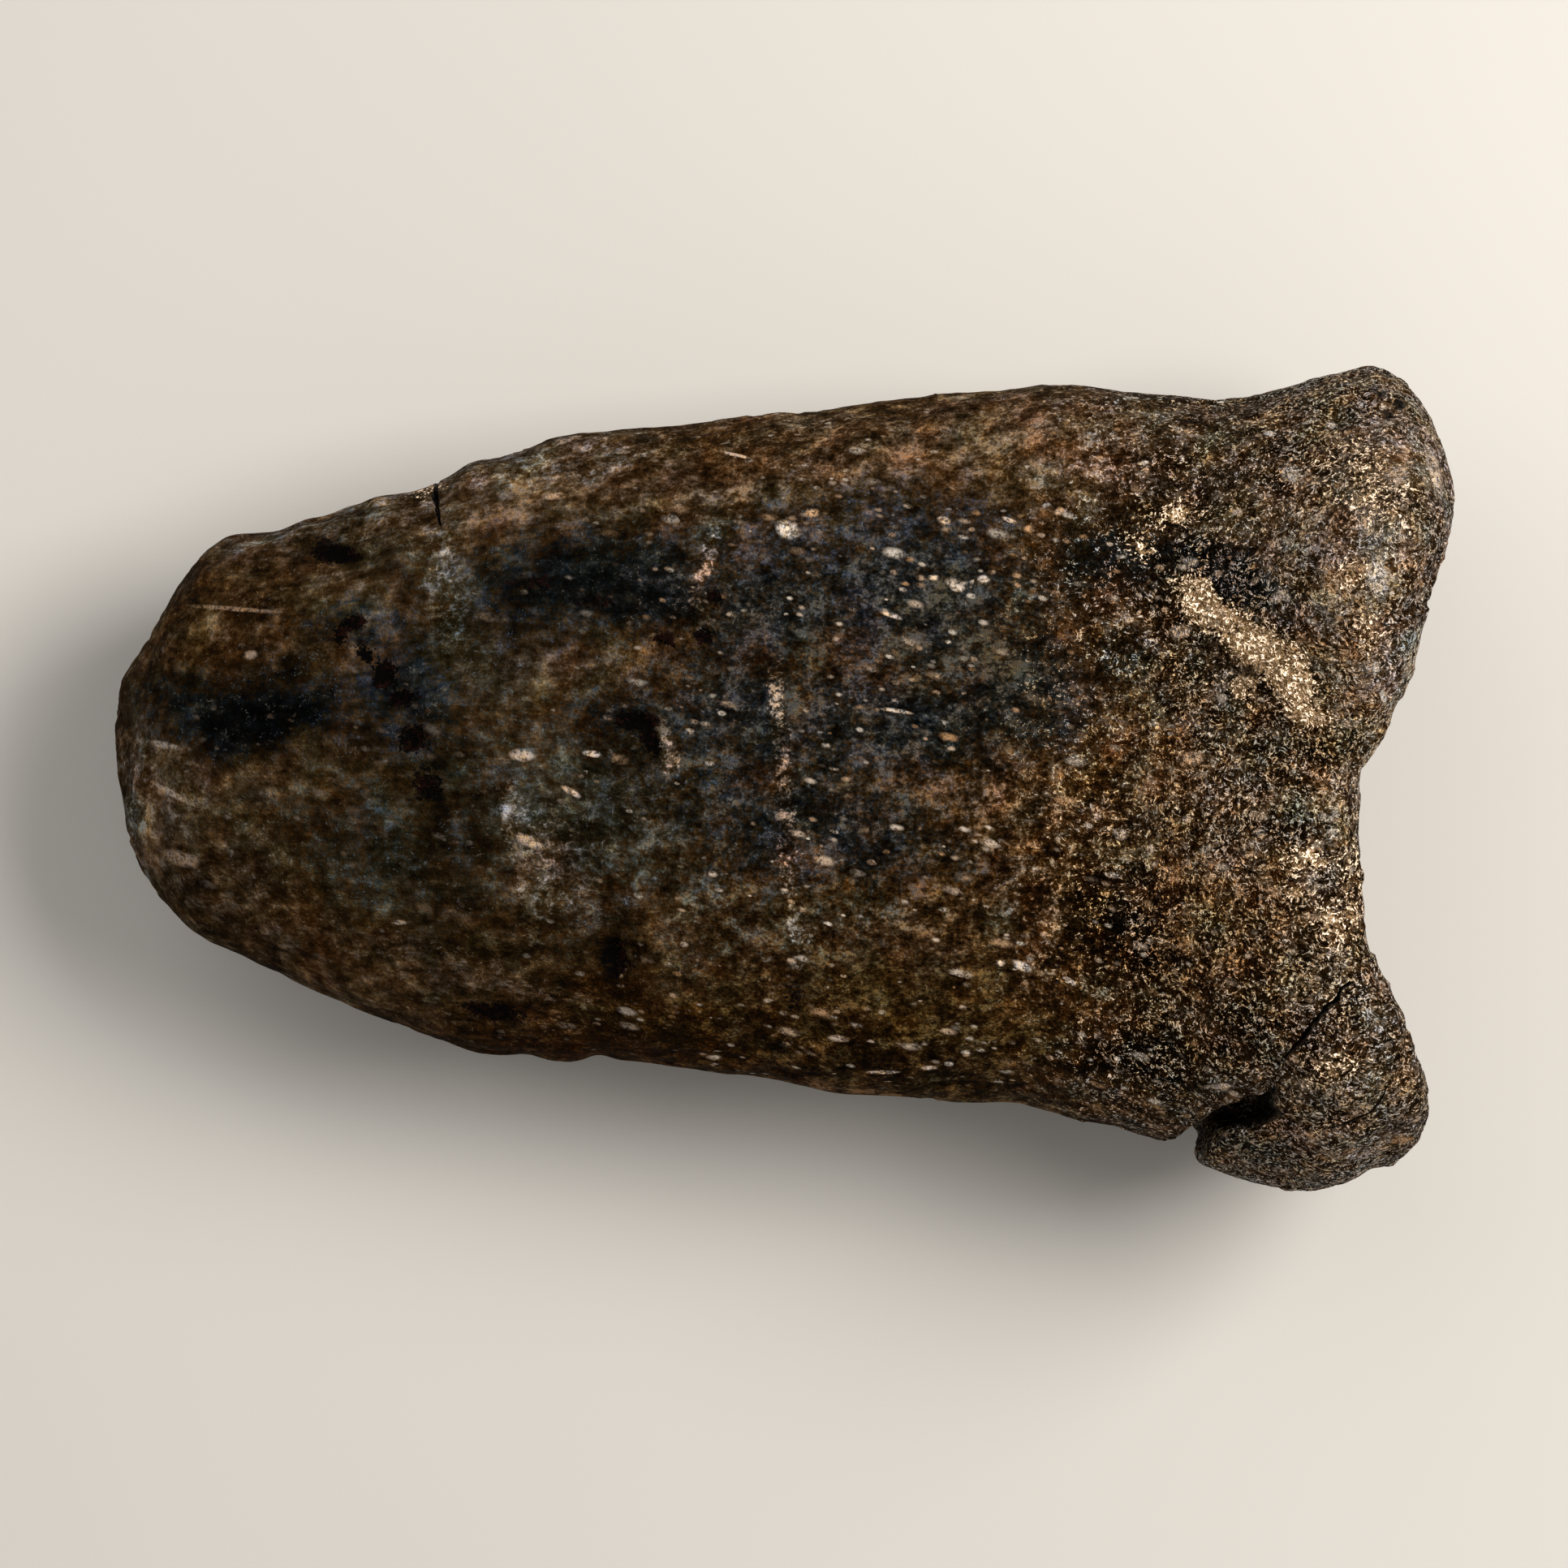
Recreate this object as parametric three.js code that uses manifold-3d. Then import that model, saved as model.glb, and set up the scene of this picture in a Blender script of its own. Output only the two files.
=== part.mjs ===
// Fossil dinosaur vertebra: the body (centrum) of one long vertebra, turned to stone in one piece.
// It lies on its back. +X runs to the hollow rear end, -X to the round front end, +Z up through the
// underside of the living animal. The arch has broken off, and its two flat stumps carry the bone.
// Millimetres; the origin is on the resting plane, under the middle of the bone.
import * as THREE from "three";
import { mergeVertices } from "three/addons/utils/BufferGeometryUtils.js";
import Module from "manifold-3d";

const wasm = await Module();
wasm.setup();

// Driving sizes.
const NOSE_X = -45; // tip of the round front end
const LIP_X = 40; // where the body starts to turn over into the rear face
const LIP_SHARE = { far: 0.34, near: 0.13 }; // share of the section that the turn takes, on each side
const CUP_FLOOR_X = 32.5; // deepest place of the hollow rear face
const WIDEST_LEVEL = 0.47; // level of the widest line, as a share of the bone's thickness
const TOP_POWER = 2.7; // squareness of the section above its widest line
const BELOW_POWER = 2.3; // and below it
const SPLAY = { from: 17, to: 40 }; // where the sections bend to follow the rear rim

// Outlines as [place, size] pairs. Far and near edge: the +Y and -Y outline seen from above.
const FAR_EDGE = [
  [-45, 3.4], [-44.7, 6.8], [-43.3, 9], [-40.5, 13.4], [-37.5, 16.3], [-30, 18.7], [-21.5, 21.2],
  [-12, 23.6], [-4.8, 24.4], [1.8, 25.2], [12, 26.3], [20, 26.7], [29.6, 26], [33, 26.4],
  [36.7, 27.4], [40, 28.3],
];
const NEAR_EDGE = [
  [-45, 3.4], [-44.6, 0.2], [-43.8, -4.2], [-41.3, -8.5], [-39.3, -10.4], [-35.3, -12.4],
  [-28.8, -15.4], [-22.2, -17.6], [-12, -18.8], [-1.5, -20.1], [8.5, -21.3], [16, -21.9],
  [22, -23.1], [27.6, -25.3], [31.2, -26.8], [35.6, -27.6], [37.8, -27.3], [38.9, -26.5], [40, -26],
];
// Chips and small swellings along both edges, as [x, half-length, height], and how far round the
// bone they reach.
const EDGE_CHIPS = {
  far: [
    [-37.6, 1.6, 0.7], [-33.8, 1.5, -0.45], [-29.6, 1.6, -0.3], [-24, 2, -0.6], [-20.7, 1.3, 0.5],
    [-14.4, 1.5, 0.3], [11.8, 1.6, 0.3], [18.8, 2, 0.35],
  ],
  near: [
    [-39.4, 1, 0.3], [-20.4, 2.6, 0.5], [-14.3, 1.2, 0.7], [-12.3, 1, -0.4], [4.6, 2.8, 0.45],
    [16.4, 2, -0.5], [24.4, 1.6, -0.4], [26.4, 1, -0.4],
  ],
  spread: 0.5,
};
// Upper and lower profile, seen from the side.
const CROWN = [
  [-45, 12], [-44.2, 16], [-42, 19.3], [-38, 22], [-30, 24.6], [-15, 26.9], [0, 27.8], [15, 28.1],
  [25, 29.2], [33, 31.8], [38, 33.5], [40, 33.8],
];
const KEEL = [
  [-45, 12], [-44.2, 8.6], [-42, 6.2], [-38, 4.7], [-30, 3.9], [-15, 3.8], [0, 4], [15, 3.6],
  [25, 2.7], [33, 1.5], [38, 0.9], [40, 0.8],
];
// Rear rim seen from above: how far back it reaches at each Y, and how long its rounded lip is.
const RIM = [
  [-30, 43.6], [-23, 43.6], [-20.5, 43.1], [-16.2, 41.4], [-11.8, 39.3], [-9.6, 38.6], [-7, 38.3],
  [-3, 38.5], [0.4, 38.8], [2.4, 39.4], [4, 40.8], [6.7, 42], [9.5, 42.4], [13.3, 43.4],
  [17.7, 44.7], [22, 45], [30, 45],
];
const LIP_LENGTH = [[-30, 3.3], [-20, 3.3], [-10, 3], [0, 3.2], [8, 4.4], [16, 5], [30, 5]];

// The two knobs of the rear rim, and the shallow trough between them.
const KNOBS = [
  { y: 16, spread: 7.5, rise: 3.4 },
  { y: -18, spread: 6.5, rise: 2.6 },
];
const KNOB_RAMP = { from: 22, to: 39 };
const TROUGH = { y: 1.5, spread: 9, depth: 1.1, from: -25, to: 12 };

// Stumps of the arch on the lower side, with the floor of the spinal canal between them. They
// spread with the bone: widths and places are shares of its half-width.
const STUMP = { share: 0.4, flatShare: 0.12, footShare: 0.23, height: 5.4, end: 26, taper: 9 };
const CANAL = { share: 0.15, depth: 1.6, from: 34, to: 42 };

// Hollows in the two flanks, below the widest line.
const FLANK = { x: -2, reach: 16, depth: 2.6, angle: 0.5, spread: 0.34 };

// Dents in the upper face, as [x, y, half-length, half-width, depth].
const DENTS = [
  [-26.8, 9.2, 1.3, 1.3, 0.8], [-25, 6, 0.9, 1.4, 0.7], [-23.9, 2.9, 1.2, 1.1, 0.9],
  [-9.2, 3.9, 1.5, 0.8, 0.9], [-10.7, -11.6, 1.3, 2, 0.9], [-28.4, 15, 1.7, 0.9, 0.5],
  [-18.7, -15.2, 2, 0.9, 0.6], [-4.4, 11.2, 1, 1.4, 0.6], [35, 21.2, 1.5, 1.2, 0.5],
];

// The open break behind the near knob: its outline from above, and the levels it runs between. Its
// floor climbs inwards from the mouth, by this much for each millimetre along the bone.
const BREAK = {
  outline: [
    [25.2, -26.8], [26.3, -24.2], [28, -22.9], [29.2, -22], [31.1, -20.9], [32.4, -20.3],
    [32.8, -20], [32.7, -21.2], [32.1, -22.4], [30.8, -22.6], [29.6, -22.9], [29.1, -23.8],
    [28.5, -25.2], [28.2, -26.8],
  ],
  low: 6,
  high: 42,
  mouth: 27.3,
  climb: 2.5,
};

// Cracks in the upper face: a path from above, with its width and depth. The blades that cut them
// start this far above the face, and are this share of their width at the tips.
const CRACKS = [
  {
    path: [[32.6, -20.6], [33.1, -18.4], [34.4, -16.6], [35.5, -15], [36.8, -13.3], [38, -12.1]],
    width: 0.45,
    depth: 2.2,
  },
  { path: [[-23.1, 21.3], [-22.9, 19.6], [-22.4, 17.2]], width: 0.5, depth: 1.8 },
];
const BLADE = { above: 2.5, tipShare: 0.25 };

// Gentle unevenness of the whole stone, as [wavelength, height], and its sideways share.
const WAVES = [[31, 0.28], [13, 0.16], [6.1, 0.09]];
const SIDEWAYS = 0.6;
const GOLDEN_ANGLE = Math.PI * (3 - Math.sqrt(5));

// Where relief fades in: by the upward or downward turn of the section, and from the cup's middle.
const FACE_TURN = 0.5;
const CUP_CALM = 0.5;

// Mesh fineness: columns round the bone, and rows along the body, over the lip and down the cup.
const COLUMNS = 72;
const ROWS = { body: 54, lip: 6, cup: 6 };
const COLUMN_BIAS = 0.1; // crowds columns to the upper and lower side
const NOSE_SHARE = 0.12; // share of the body rows that crowd towards the nose

const clamp = THREE.MathUtils.clamp;
const ramp = (from, to, value) => THREE.MathUtils.smoothstep(value, from, to);
const bell = (value, spread) => Math.exp(-((value / spread) ** 2));
const signedPower = (value, power) => Math.sign(value) * Math.abs(value) ** power;

// A smooth curve through [place, size] pairs, as a function of place.
function curveThrough(points) {
  const last = points.length - 1;
  const slopes = points.map((_, i) => {
    const [before, after] = [points[Math.max(i - 1, 0)], points[Math.min(i + 1, last)]];
    return (after[1] - before[1]) / (after[0] - before[0]);
  });
  return (place) => {
    let i = 0;
    while (i < last - 1 && place > points[i + 1][0]) i++;
    const span = points[i + 1][0] - points[i][0];
    const t = clamp((place - points[i][0]) / span, 0, 1);
    const rise = t * t * (3 - 2 * t);
    const enter = t * (1 - t) ** 2 * span * slopes[i];
    const leave = t * t * (t - 1) * span * slopes[i + 1];
    return points[i][1] + (points[i + 1][1] - points[i][1]) * rise + enter + leave;
  };
}

// The same for a curve that closes round the nose, so it starts upright at the tip.
function noseCurve(points) {
  const reach = (x) => Math.sqrt(Math.max(x - NOSE_X, 0));
  const curve = curveThrough(points.map(([x, size]) => [reach(x), size]));
  return (x) => curve(reach(x));
}

const farEdge = noseCurve(FAR_EDGE);
const nearEdge = noseCurve(NEAR_EDGE);
const crown = noseCurve(CROWN);
const keel = noseCurve(KEEL);
const rim = curveThrough(RIM);
const lipLength = curveThrough(LIP_LENGTH);

// Slow unevenness from a few crossed sine waves, between about -1 and 1.
function unevenness(point, wavelength, seed) {
  const waves = 5;
  let total = 0;
  for (let k = 0; k < waves; k++) {
    const turn = GOLDEN_ANGLE * (seed + k);
    const lift = 1 - (2 * k + 1) / waves;
    const level = Math.sqrt(1 - lift * lift);
    const along = (point.x * Math.cos(turn) + point.y * Math.sin(turn)) * level + point.z * lift;
    total += Math.sin((2 * Math.PI * along) / (wavelength * (0.8 + 0.1 * k)) + 1.7 * seed + 2.3 * k);
  }
  return total / Math.sqrt(waves);
}

// Height added to the upper face at a place seen from above.
function upperRelief(x, y) {
  let height = -TROUGH.depth * bell(y - TROUGH.y, TROUGH.spread) * ramp(TROUGH.from, TROUGH.to, x);
  for (const knob of KNOBS) {
    height += knob.rise * bell(y - knob.y, knob.spread) * ramp(KNOB_RAMP.from, KNOB_RAMP.to, x);
  }
  for (const [dentX, dentY, halfLength, halfWidth, depth] of DENTS) {
    height -= depth * bell(x - dentX, halfLength) * bell(y - dentY, halfWidth);
  }
  return height;
}

// Height added to the lower face: the two stumps hang down, and the canal is cut up between them.
function lowerRelief(x, y) {
  const [far, near] = [farEdge(x), nearEdge(x)];
  const share = Math.abs(y - (far + near) / 2) / ((far - near) / 2);
  const along = 1 - ramp(STUMP.end - STUMP.taper, STUMP.end, Math.abs(x));
  const across = 1 - ramp(STUMP.flatShare, STUMP.footShare, Math.abs(share - STUMP.share));
  const canal = CANAL.depth * bell(share, CANAL.share) * (1 - ramp(CANAL.from, CANAL.to, Math.abs(x)));
  return canal - STUMP.height * along * across;
}

// A point of the body's section at x, before the ends bend, with scale shrinking it to its middle
// and squareness going from 0 for an ellipse to 1 for the body's own section.
function sectionPoint(x, angle, scale, squareness) {
  const [far, near, high, low] = [farEdge(x), nearEdge(x), crown(x), keel(x)];
  const [across, up] = [Math.cos(angle), Math.sin(angle)];
  const level = low + (high - low) * WIDEST_LEVEL;
  const power = THREE.MathUtils.lerp(2, up > 0 ? TOP_POWER : BELOW_POWER, squareness);
  const reach = up > 0 ? high - level : level - low;
  const flank = FLANK.depth * bell(x - FLANK.x, FLANK.reach)
    * bell(Math.asin(clamp(-up, -1, 1)) - FLANK.angle, FLANK.spread) * Math.sign(across);
  const chips = across > 0 ? EDGE_CHIPS.far : EDGE_CHIPS.near;
  const chipHeight = chips.reduce(
    (total, [place, halfLength, height]) => total + height * bell(x - place, halfLength), 0);
  const chip = chipHeight * bell(up, EDGE_CHIPS.spread) * Math.sign(across);
  const halfWidth = (scale * (far - near)) / 2;
  const y = (far + near) / 2 + halfWidth * signedPower(across, 2 / power) + chip - flank;
  const z = level + scale * reach * signedPower(up, 2 / power);
  return new THREE.Vector3(x, y, z);
}

// Where the rear end puts a point that is this far across: 0 is the body's end, 1 the rim itself.
function rearPlace(y, turn) {
  return rim(y) - lipLength(y) * (1 - Math.sin((turn * Math.PI) / 2));
}

// X of a row of the body, by its share of the rows: they crowd towards the nose.
function bodyPlace(share) {
  const spread = (t) => (t < NOSE_SHARE ? t * t : NOSE_SHARE * (2 * t - NOSE_SHARE));
  return NOSE_X + ((LIP_X - NOSE_X) * spread(share)) / spread(1);
}

// The bone's skin. Along runs 0..1 over the body, 1..2 over the rear lip and 2..3 down the cup.
function skinPoint(along, angle) {
  const bodyShare = Math.min(along, 1);
  const x = bodyPlace(bodyShare);
  const lipShare = THREE.MathUtils.lerp(LIP_SHARE.near, LIP_SHARE.far, (1 + Math.cos(angle)) / 2);
  const turn = clamp(along - 1, 0, 1);
  const lipScale = 1 - lipShare * (1 - Math.cos((turn * Math.PI) / 2));
  const cupShare = 1 - clamp(along - 2, 0, 1);
  const point = sectionPoint(x, angle, lipScale * cupShare, cupShare);
  if (along > 1) {
    const climb = (1 - Math.cos(Math.PI * cupShare)) / 2;
    point.x = THREE.MathUtils.lerp(CUP_FLOOR_X, rearPlace(point.y, turn), climb);
  } else {
    point.x += (rearPlace(point.y, 0) - LIP_X) * ramp(SPLAY.from, SPLAY.to, x);
  }
  const up = Math.sin(angle);
  const fade = ramp(0, CUP_CALM, cupShare);
  point.z += upperRelief(point.x, point.y) * ramp(0, FACE_TURN, up) * fade;
  point.z += lowerRelief(point.x, point.y) * ramp(0, FACE_TURN, -up) * fade;
  WAVES.forEach(([wavelength, height], seed) => {
    const still = point.clone();
    const offNose = ramp(0, NOSE_SHARE, bodyShare);
    point.x += SIDEWAYS * offNose * height * unevenness(still, wavelength, seed + 9);
    point.y += SIDEWAYS * height * unevenness(still, wavelength, seed + 1);
    point.z += height * unevenness(still, wavelength, seed + 5);
  });
  point.z = Math.max(point.z, 0); // the stumps are worn flat on the resting plane
  return point;
}

// The whole skin as one closed mesh: rows of columns, with a point at the nose and one in the cup.
function skinGeometry() {
  const rows = [];
  for (let i = 1; i <= ROWS.body; i++) rows.push(i / ROWS.body);
  for (let i = 1; i <= ROWS.lip; i++) rows.push(1 + i / ROWS.lip);
  for (let i = 1; i < ROWS.cup; i++) rows.push(2 + i / ROWS.cup);
  const positions = [...skinPoint(0, 0)];
  for (const row of rows) {
    for (let j = 0; j < COLUMNS; j++) {
      const share = (2 * Math.PI * j) / COLUMNS;
      positions.push(...skinPoint(row, share + COLUMN_BIAS * Math.sin(2 * share)));
    }
  }
  positions.push(...skinPoint(3, 0));
  const at = (row, column) => 1 + row * COLUMNS + (column % COLUMNS);
  const faces = [];
  for (let j = 0; j < COLUMNS; j++) {
    faces.push(0, at(0, j + 1), at(0, j));
    for (let i = 0; i < rows.length - 1; i++) {
      faces.push(at(i, j), at(i, j + 1), at(i + 1, j));
      faces.push(at(i, j + 1), at(i + 1, j + 1), at(i + 1, j));
    }
    faces.push(at(rows.length - 1, j), at(rows.length - 1, j + 1), positions.length / 3 - 1);
  }
  const geometry = new THREE.BufferGeometry();
  geometry.setAttribute("position", new THREE.Float32BufferAttribute(positions, 3));
  geometry.setIndex(faces);
  return geometry;
}

// The upright wedge that leaves the break, with its climbing floor.
function breakGeometry() {
  const outline = new THREE.Shape(BREAK.outline.map(([x, y]) => new THREE.Vector2(x, y)));
  const geometry = new THREE.ExtrudeGeometry(outline, { depth: BREAK.high, bevelEnabled: false });
  const position = geometry.getAttribute("position");
  for (let i = 0; i < position.count; i++) {
    const floor = BREAK.low + BREAK.climb * Math.max(position.getX(i) - BREAK.mouth, 0);
    if (position.getZ(i) === 0) position.setZ(i, floor);
  }
  return geometry;
}

// Level of the upper face at a place seen from above, without its waves.
function upperLevel(x, y) {
  const [far, near, high, low] = [farEdge(x), nearEdge(x), crown(x), keel(x)];
  const level = low + (high - low) * WIDEST_LEVEL;
  const across = clamp(Math.abs(y - (far + near) / 2) / ((far - near) / 2), 0, 0.98);
  return level + (high - level) * (1 - across ** TOP_POWER) ** (1 / TOP_POWER) + upperRelief(x, y);
}

// A thin blade that follows a crack: widest in the middle, pointed at both ends and at its foot.
function crackGeometry({ path, width, depth }) {
  const positions = [];
  const faces = [];
  path.forEach(([x, y], i) => {
    const [before, after] = [path[Math.max(i - 1, 0)], path[Math.min(i + 1, path.length - 1)]];
    const run = new THREE.Vector2(after[0] - before[0], after[1] - before[1]).normalize();
    const swell = Math.sin((Math.PI * (i + 0.5)) / path.length);
    const half = (width / 2) * THREE.MathUtils.lerp(BLADE.tipShare, 1, swell);
    const level = upperLevel(x, y);
    positions.push(x - run.y * half, y + run.x * half, level + BLADE.above);
    positions.push(x + run.y * half, y - run.x * half, level + BLADE.above);
    positions.push(x, y, level - depth);
  });
  for (let i = 0; i < path.length - 1; i++) {
    for (let side = 0; side < 3; side++) {
      const [a, b] = [3 * i + side, 3 * i + ((side + 1) % 3)];
      faces.push(a, b, b + 3, a, b + 3, a + 3);
    }
  }
  const end = 3 * (path.length - 1);
  faces.push(0, 2, 1, end, end + 1, end + 2);
  const geometry = new THREE.BufferGeometry();
  geometry.setAttribute("position", new THREE.Float32BufferAttribute(positions, 3));
  geometry.setIndex(faces);
  return geometry;
}

// A closed geometry as a solid that can be cut.
function solidOf(geometry) {
  const bare = new THREE.BufferGeometry();
  const flat = geometry.index ? geometry.toNonIndexed() : geometry;
  bare.setAttribute("position", flat.getAttribute("position"));
  const merged = mergeVertices(bare, 1e-4);
  const vertProperties = new Float32Array(merged.attributes.position.array);
  const triVerts = new Uint32Array(merged.index.array);
  return new wasm.Manifold(new wasm.Mesh({ numProp: 3, vertProperties, triVerts }));
}

// A solid as a geometry again, with its box centred over the origin.
function centredGeometry(solid) {
  const mesh = solid.getMesh();
  const geometry = new THREE.BufferGeometry();
  geometry.setAttribute("position", new THREE.BufferAttribute(mesh.vertProperties, 3));
  geometry.setIndex(new THREE.BufferAttribute(mesh.triVerts, 1));
  geometry.computeBoundingBox();
  const middle = geometry.boundingBox.getCenter(new THREE.Vector3());
  geometry.translate(-middle.x, -middle.y, -geometry.boundingBox.min.z);
  geometry.computeVertexNormals();
  return geometry;
}

let bone = solidOf(skinGeometry()).subtract(solidOf(breakGeometry()));
for (const crack of CRACKS) bone = bone.subtract(solidOf(crackGeometry(crack)));

const darkFossilBone = new THREE.MeshStandardMaterial({
  color: 0x403626,
  roughness: 0.7,
  metalness: 0,
});
const vertebra = new THREE.Mesh(centredGeometry(bone), darkFossilBone);
vertebra.name = "vertebra";

const specimen = new THREE.Group();
specimen.add(vertebra);
export default specimen;
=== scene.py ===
# Fossil dinosaur vertebra: the dark stone body of one long bone, lying on the flat stumps of its
# lost arch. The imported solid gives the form; this script weathers its skin, opens the break and the
# cracks, and gives it its colours. Meshes are in metres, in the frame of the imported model. Places
# and sizes in the tables are millimetres in that frame.
import math

import bmesh
import bpy
import numpy as np
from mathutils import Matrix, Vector, noise
from mathutils.bvhtree import BVHTree


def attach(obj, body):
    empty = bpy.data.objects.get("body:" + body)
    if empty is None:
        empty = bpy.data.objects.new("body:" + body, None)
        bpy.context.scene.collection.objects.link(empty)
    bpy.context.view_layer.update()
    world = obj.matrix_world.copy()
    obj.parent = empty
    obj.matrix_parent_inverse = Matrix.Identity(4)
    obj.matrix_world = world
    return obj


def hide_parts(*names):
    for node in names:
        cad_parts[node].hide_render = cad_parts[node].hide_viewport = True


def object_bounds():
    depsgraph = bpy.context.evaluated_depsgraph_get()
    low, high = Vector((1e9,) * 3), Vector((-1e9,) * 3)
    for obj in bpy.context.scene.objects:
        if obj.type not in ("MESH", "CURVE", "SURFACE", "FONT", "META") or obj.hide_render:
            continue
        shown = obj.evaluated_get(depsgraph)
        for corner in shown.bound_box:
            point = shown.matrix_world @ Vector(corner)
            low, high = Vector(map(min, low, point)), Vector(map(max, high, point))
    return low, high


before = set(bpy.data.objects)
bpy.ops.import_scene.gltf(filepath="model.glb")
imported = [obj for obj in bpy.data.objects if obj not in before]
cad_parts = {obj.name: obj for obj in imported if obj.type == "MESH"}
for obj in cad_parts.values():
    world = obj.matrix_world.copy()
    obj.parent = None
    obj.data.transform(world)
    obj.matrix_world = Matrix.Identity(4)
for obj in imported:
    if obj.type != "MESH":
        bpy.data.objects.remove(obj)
CAD_LOW, CAD_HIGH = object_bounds()

bl_info = {
    "name": "Fossil dinosaur vertebra",
    "version": (1, 0, 0),
    "blender": (4, 5, 0),
    "location": "3D View > Sidebar > Fossil",
    "description": "Builds a weathered fossil vertebra over its packed solid, and its stage",
    "category": "Object",
}

MM = 0.001
NODE = "vertebra"

# Colour zones of the upper face: x, y, half-length, half-width, turn in degrees, strength.
STAIN_ZONES = [
    (-10.5, 12.8, 9, 3.4, -3, 1.0), (0, 11, 7, 6, 0, 0.8), (9.5, 12, 9, 6, -15, 0.9),
    (15, 6.5, 6, 5, -20, 0.9), (8, 3.5, 9, 4, 0, 0.9), (-3, 4, 7, 5, 0, 0.85), (3, -3, 9, 4, -8, 0.75),
    (-35, 4.6, 7.5, 2.4, 0, 1.0), (-24.5, 6, 2.6, 5, 20, 0.8), (-9.2, 3.4, 4.5, 1.8, 0, 0.8),
    (8.5, -6, 6, 1.6, 0, 0.5), (4, 2, 4, 6, 0, 0.7), (12, 16, 6, 3, 0, 0.5), (-28, 10, 5, 1.5, -5, 0.6),
    (23, 14.3, 5, 2.2, -12, 0.7), (28.5, 13.6, 5.5, 1.5, -30, 0.9), (29, 3.5, 3, 1.6, 0, 0.4),
    (23.5, 7, 3, 3, 0, 0.4),
]
RUST_ZONES = [
    (-15, 18.6, 9, 2.4, 6, 0.8), (-3, 20.6, 8, 2.0, 5, 0.6), (14, 22.5, 15, 3.2, 1, 0.9),
    (21.5, 19.5, 8, 2.4, -8, 0.7), (22, -1.5, 6, 6, 0, 0.8), (14, -2, 6, 2.5, -15, 0.5),
    (-37, -9, 5, 4, 40, 0.5), (-24, -13.5, 10, 2.6, -14, 0.6), (30, -4, 5, 8, 0, 0.4),
    (-42.5, -2, 3.4, 9, -10, 0.9), (-31, -12, 6, 3, -20, 0.8), (-37, 13, 6, 3.4, 30, 0.8),
    (-28, 17.6, 6, 2, 12, 0.8), (-28, 10, 7, 2.4, 0, 0.5),
]
MOSS_ZONES = [
    (-13, -2.5, 9, 6.5, -5, 0.9), (-22, 13, 5, 3, 0, 0.6), (-27, -4, 8, 4, 0, 0.5),
    (0, -8, 8, 4, 0, 0.5), (-4, 17, 2.2, 1.4, 60, 0.7), (18, -8, 6, 3, 0, 0.4),
]
OLIVE_ZONES = [
    (10, -16.5, 17, 4, -6, 1.0), (-8, -15, 12, 3.6, -6, 0.8), (26, -13, 7, 6, -10, 0.7),
    (-32, -8, 8, 5, -20, 0.5), (4, 21.8, 5, 1.2, 5, 0.4), (22, -10, 5, 3, 0, 0.6),
]
# Pale crust, mostly of the rear end. The two thin zones along the far top edge of the front half, at
# (-30, 17.8) and (-15, 21.6), are painted light: the pale rim where light catches that edge.
CRUST_ZONES = [
    (40, 20, 6, 7, 0, 1.0), (31, 16, 7, 9, 0, 0.75), (38, 5, 5, 8, 0, 0.9), (34, -3, 6, 7, 0, 0.7),
    (36, -12, 5, 6, 0, 0.65), (39, -20, 6, 7, 0, 0.75), (30, 7, 6, 5, 0, 0.8), (26, 21, 6, 5, 0, 0.5),
    (-30, 17.8, 7, 1.4, 14, 0.5), (-15, 21.6, 8, 1.2, 9, 0.5), (-21.5, 12.5, 2.4, 3.4, 0, 0.22),
    (-15, -5, 2, 4, 10, 0.2), (25, -8, 8, 8, 0, 0.4), (-28, 17.6, 6, 2, 12, 0.3),
    (-43.5, -2, 2, 6, -10, 0.3),
]
# Lacy cream patches.
CREAM_ZONES = [
    (28.2, 11.2, 2.6, 1.3, -38, 1.0), (31.6, 8.4, 3.0, 1.5, -40, 1.0), (33.6, 6.2, 1.6, 1.2, -40, 1.0),
    (30.6, 6.0, 1.2, 0.9, 0, 0.9), (34.6, 4.2, 1.7, 0.8, -25, 0.95), (34.6, -5.3, 1.8, 1.0, 0, 0.65),
    (33.6, -7.6, 0.9, 0.8, 0, 0.7), (26.7, 17.4, 1.5, 0.8, 15, 0.6), (24.0, 15.2, 1.6, 0.6, -30, 0.5),
    (27.2, 12.8, 0.9, 0.7, -30, 0.6), (38.6, 19.0, 3.6, 2.4, -50, 0.42),
    (37.3, 12.8, 1.2, 1.2, 0, 0.55), (38.4, 9.2, 0.9, 1.3, 0, 0.6), (35.6, 20.6, 1.4, 0.9, 0, 0.5),
    (-23.4, 19.6, 1.2, 0.8, 0, 0.4), (36.5, -18.5, 2.2, 1.2, 20, 0.5), (36.0, -9.4, 1.2, 1.6, 0, 0.6),
    (37.5, -7.5, 1.0, 3.0, 0, 0.5),
]
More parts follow.
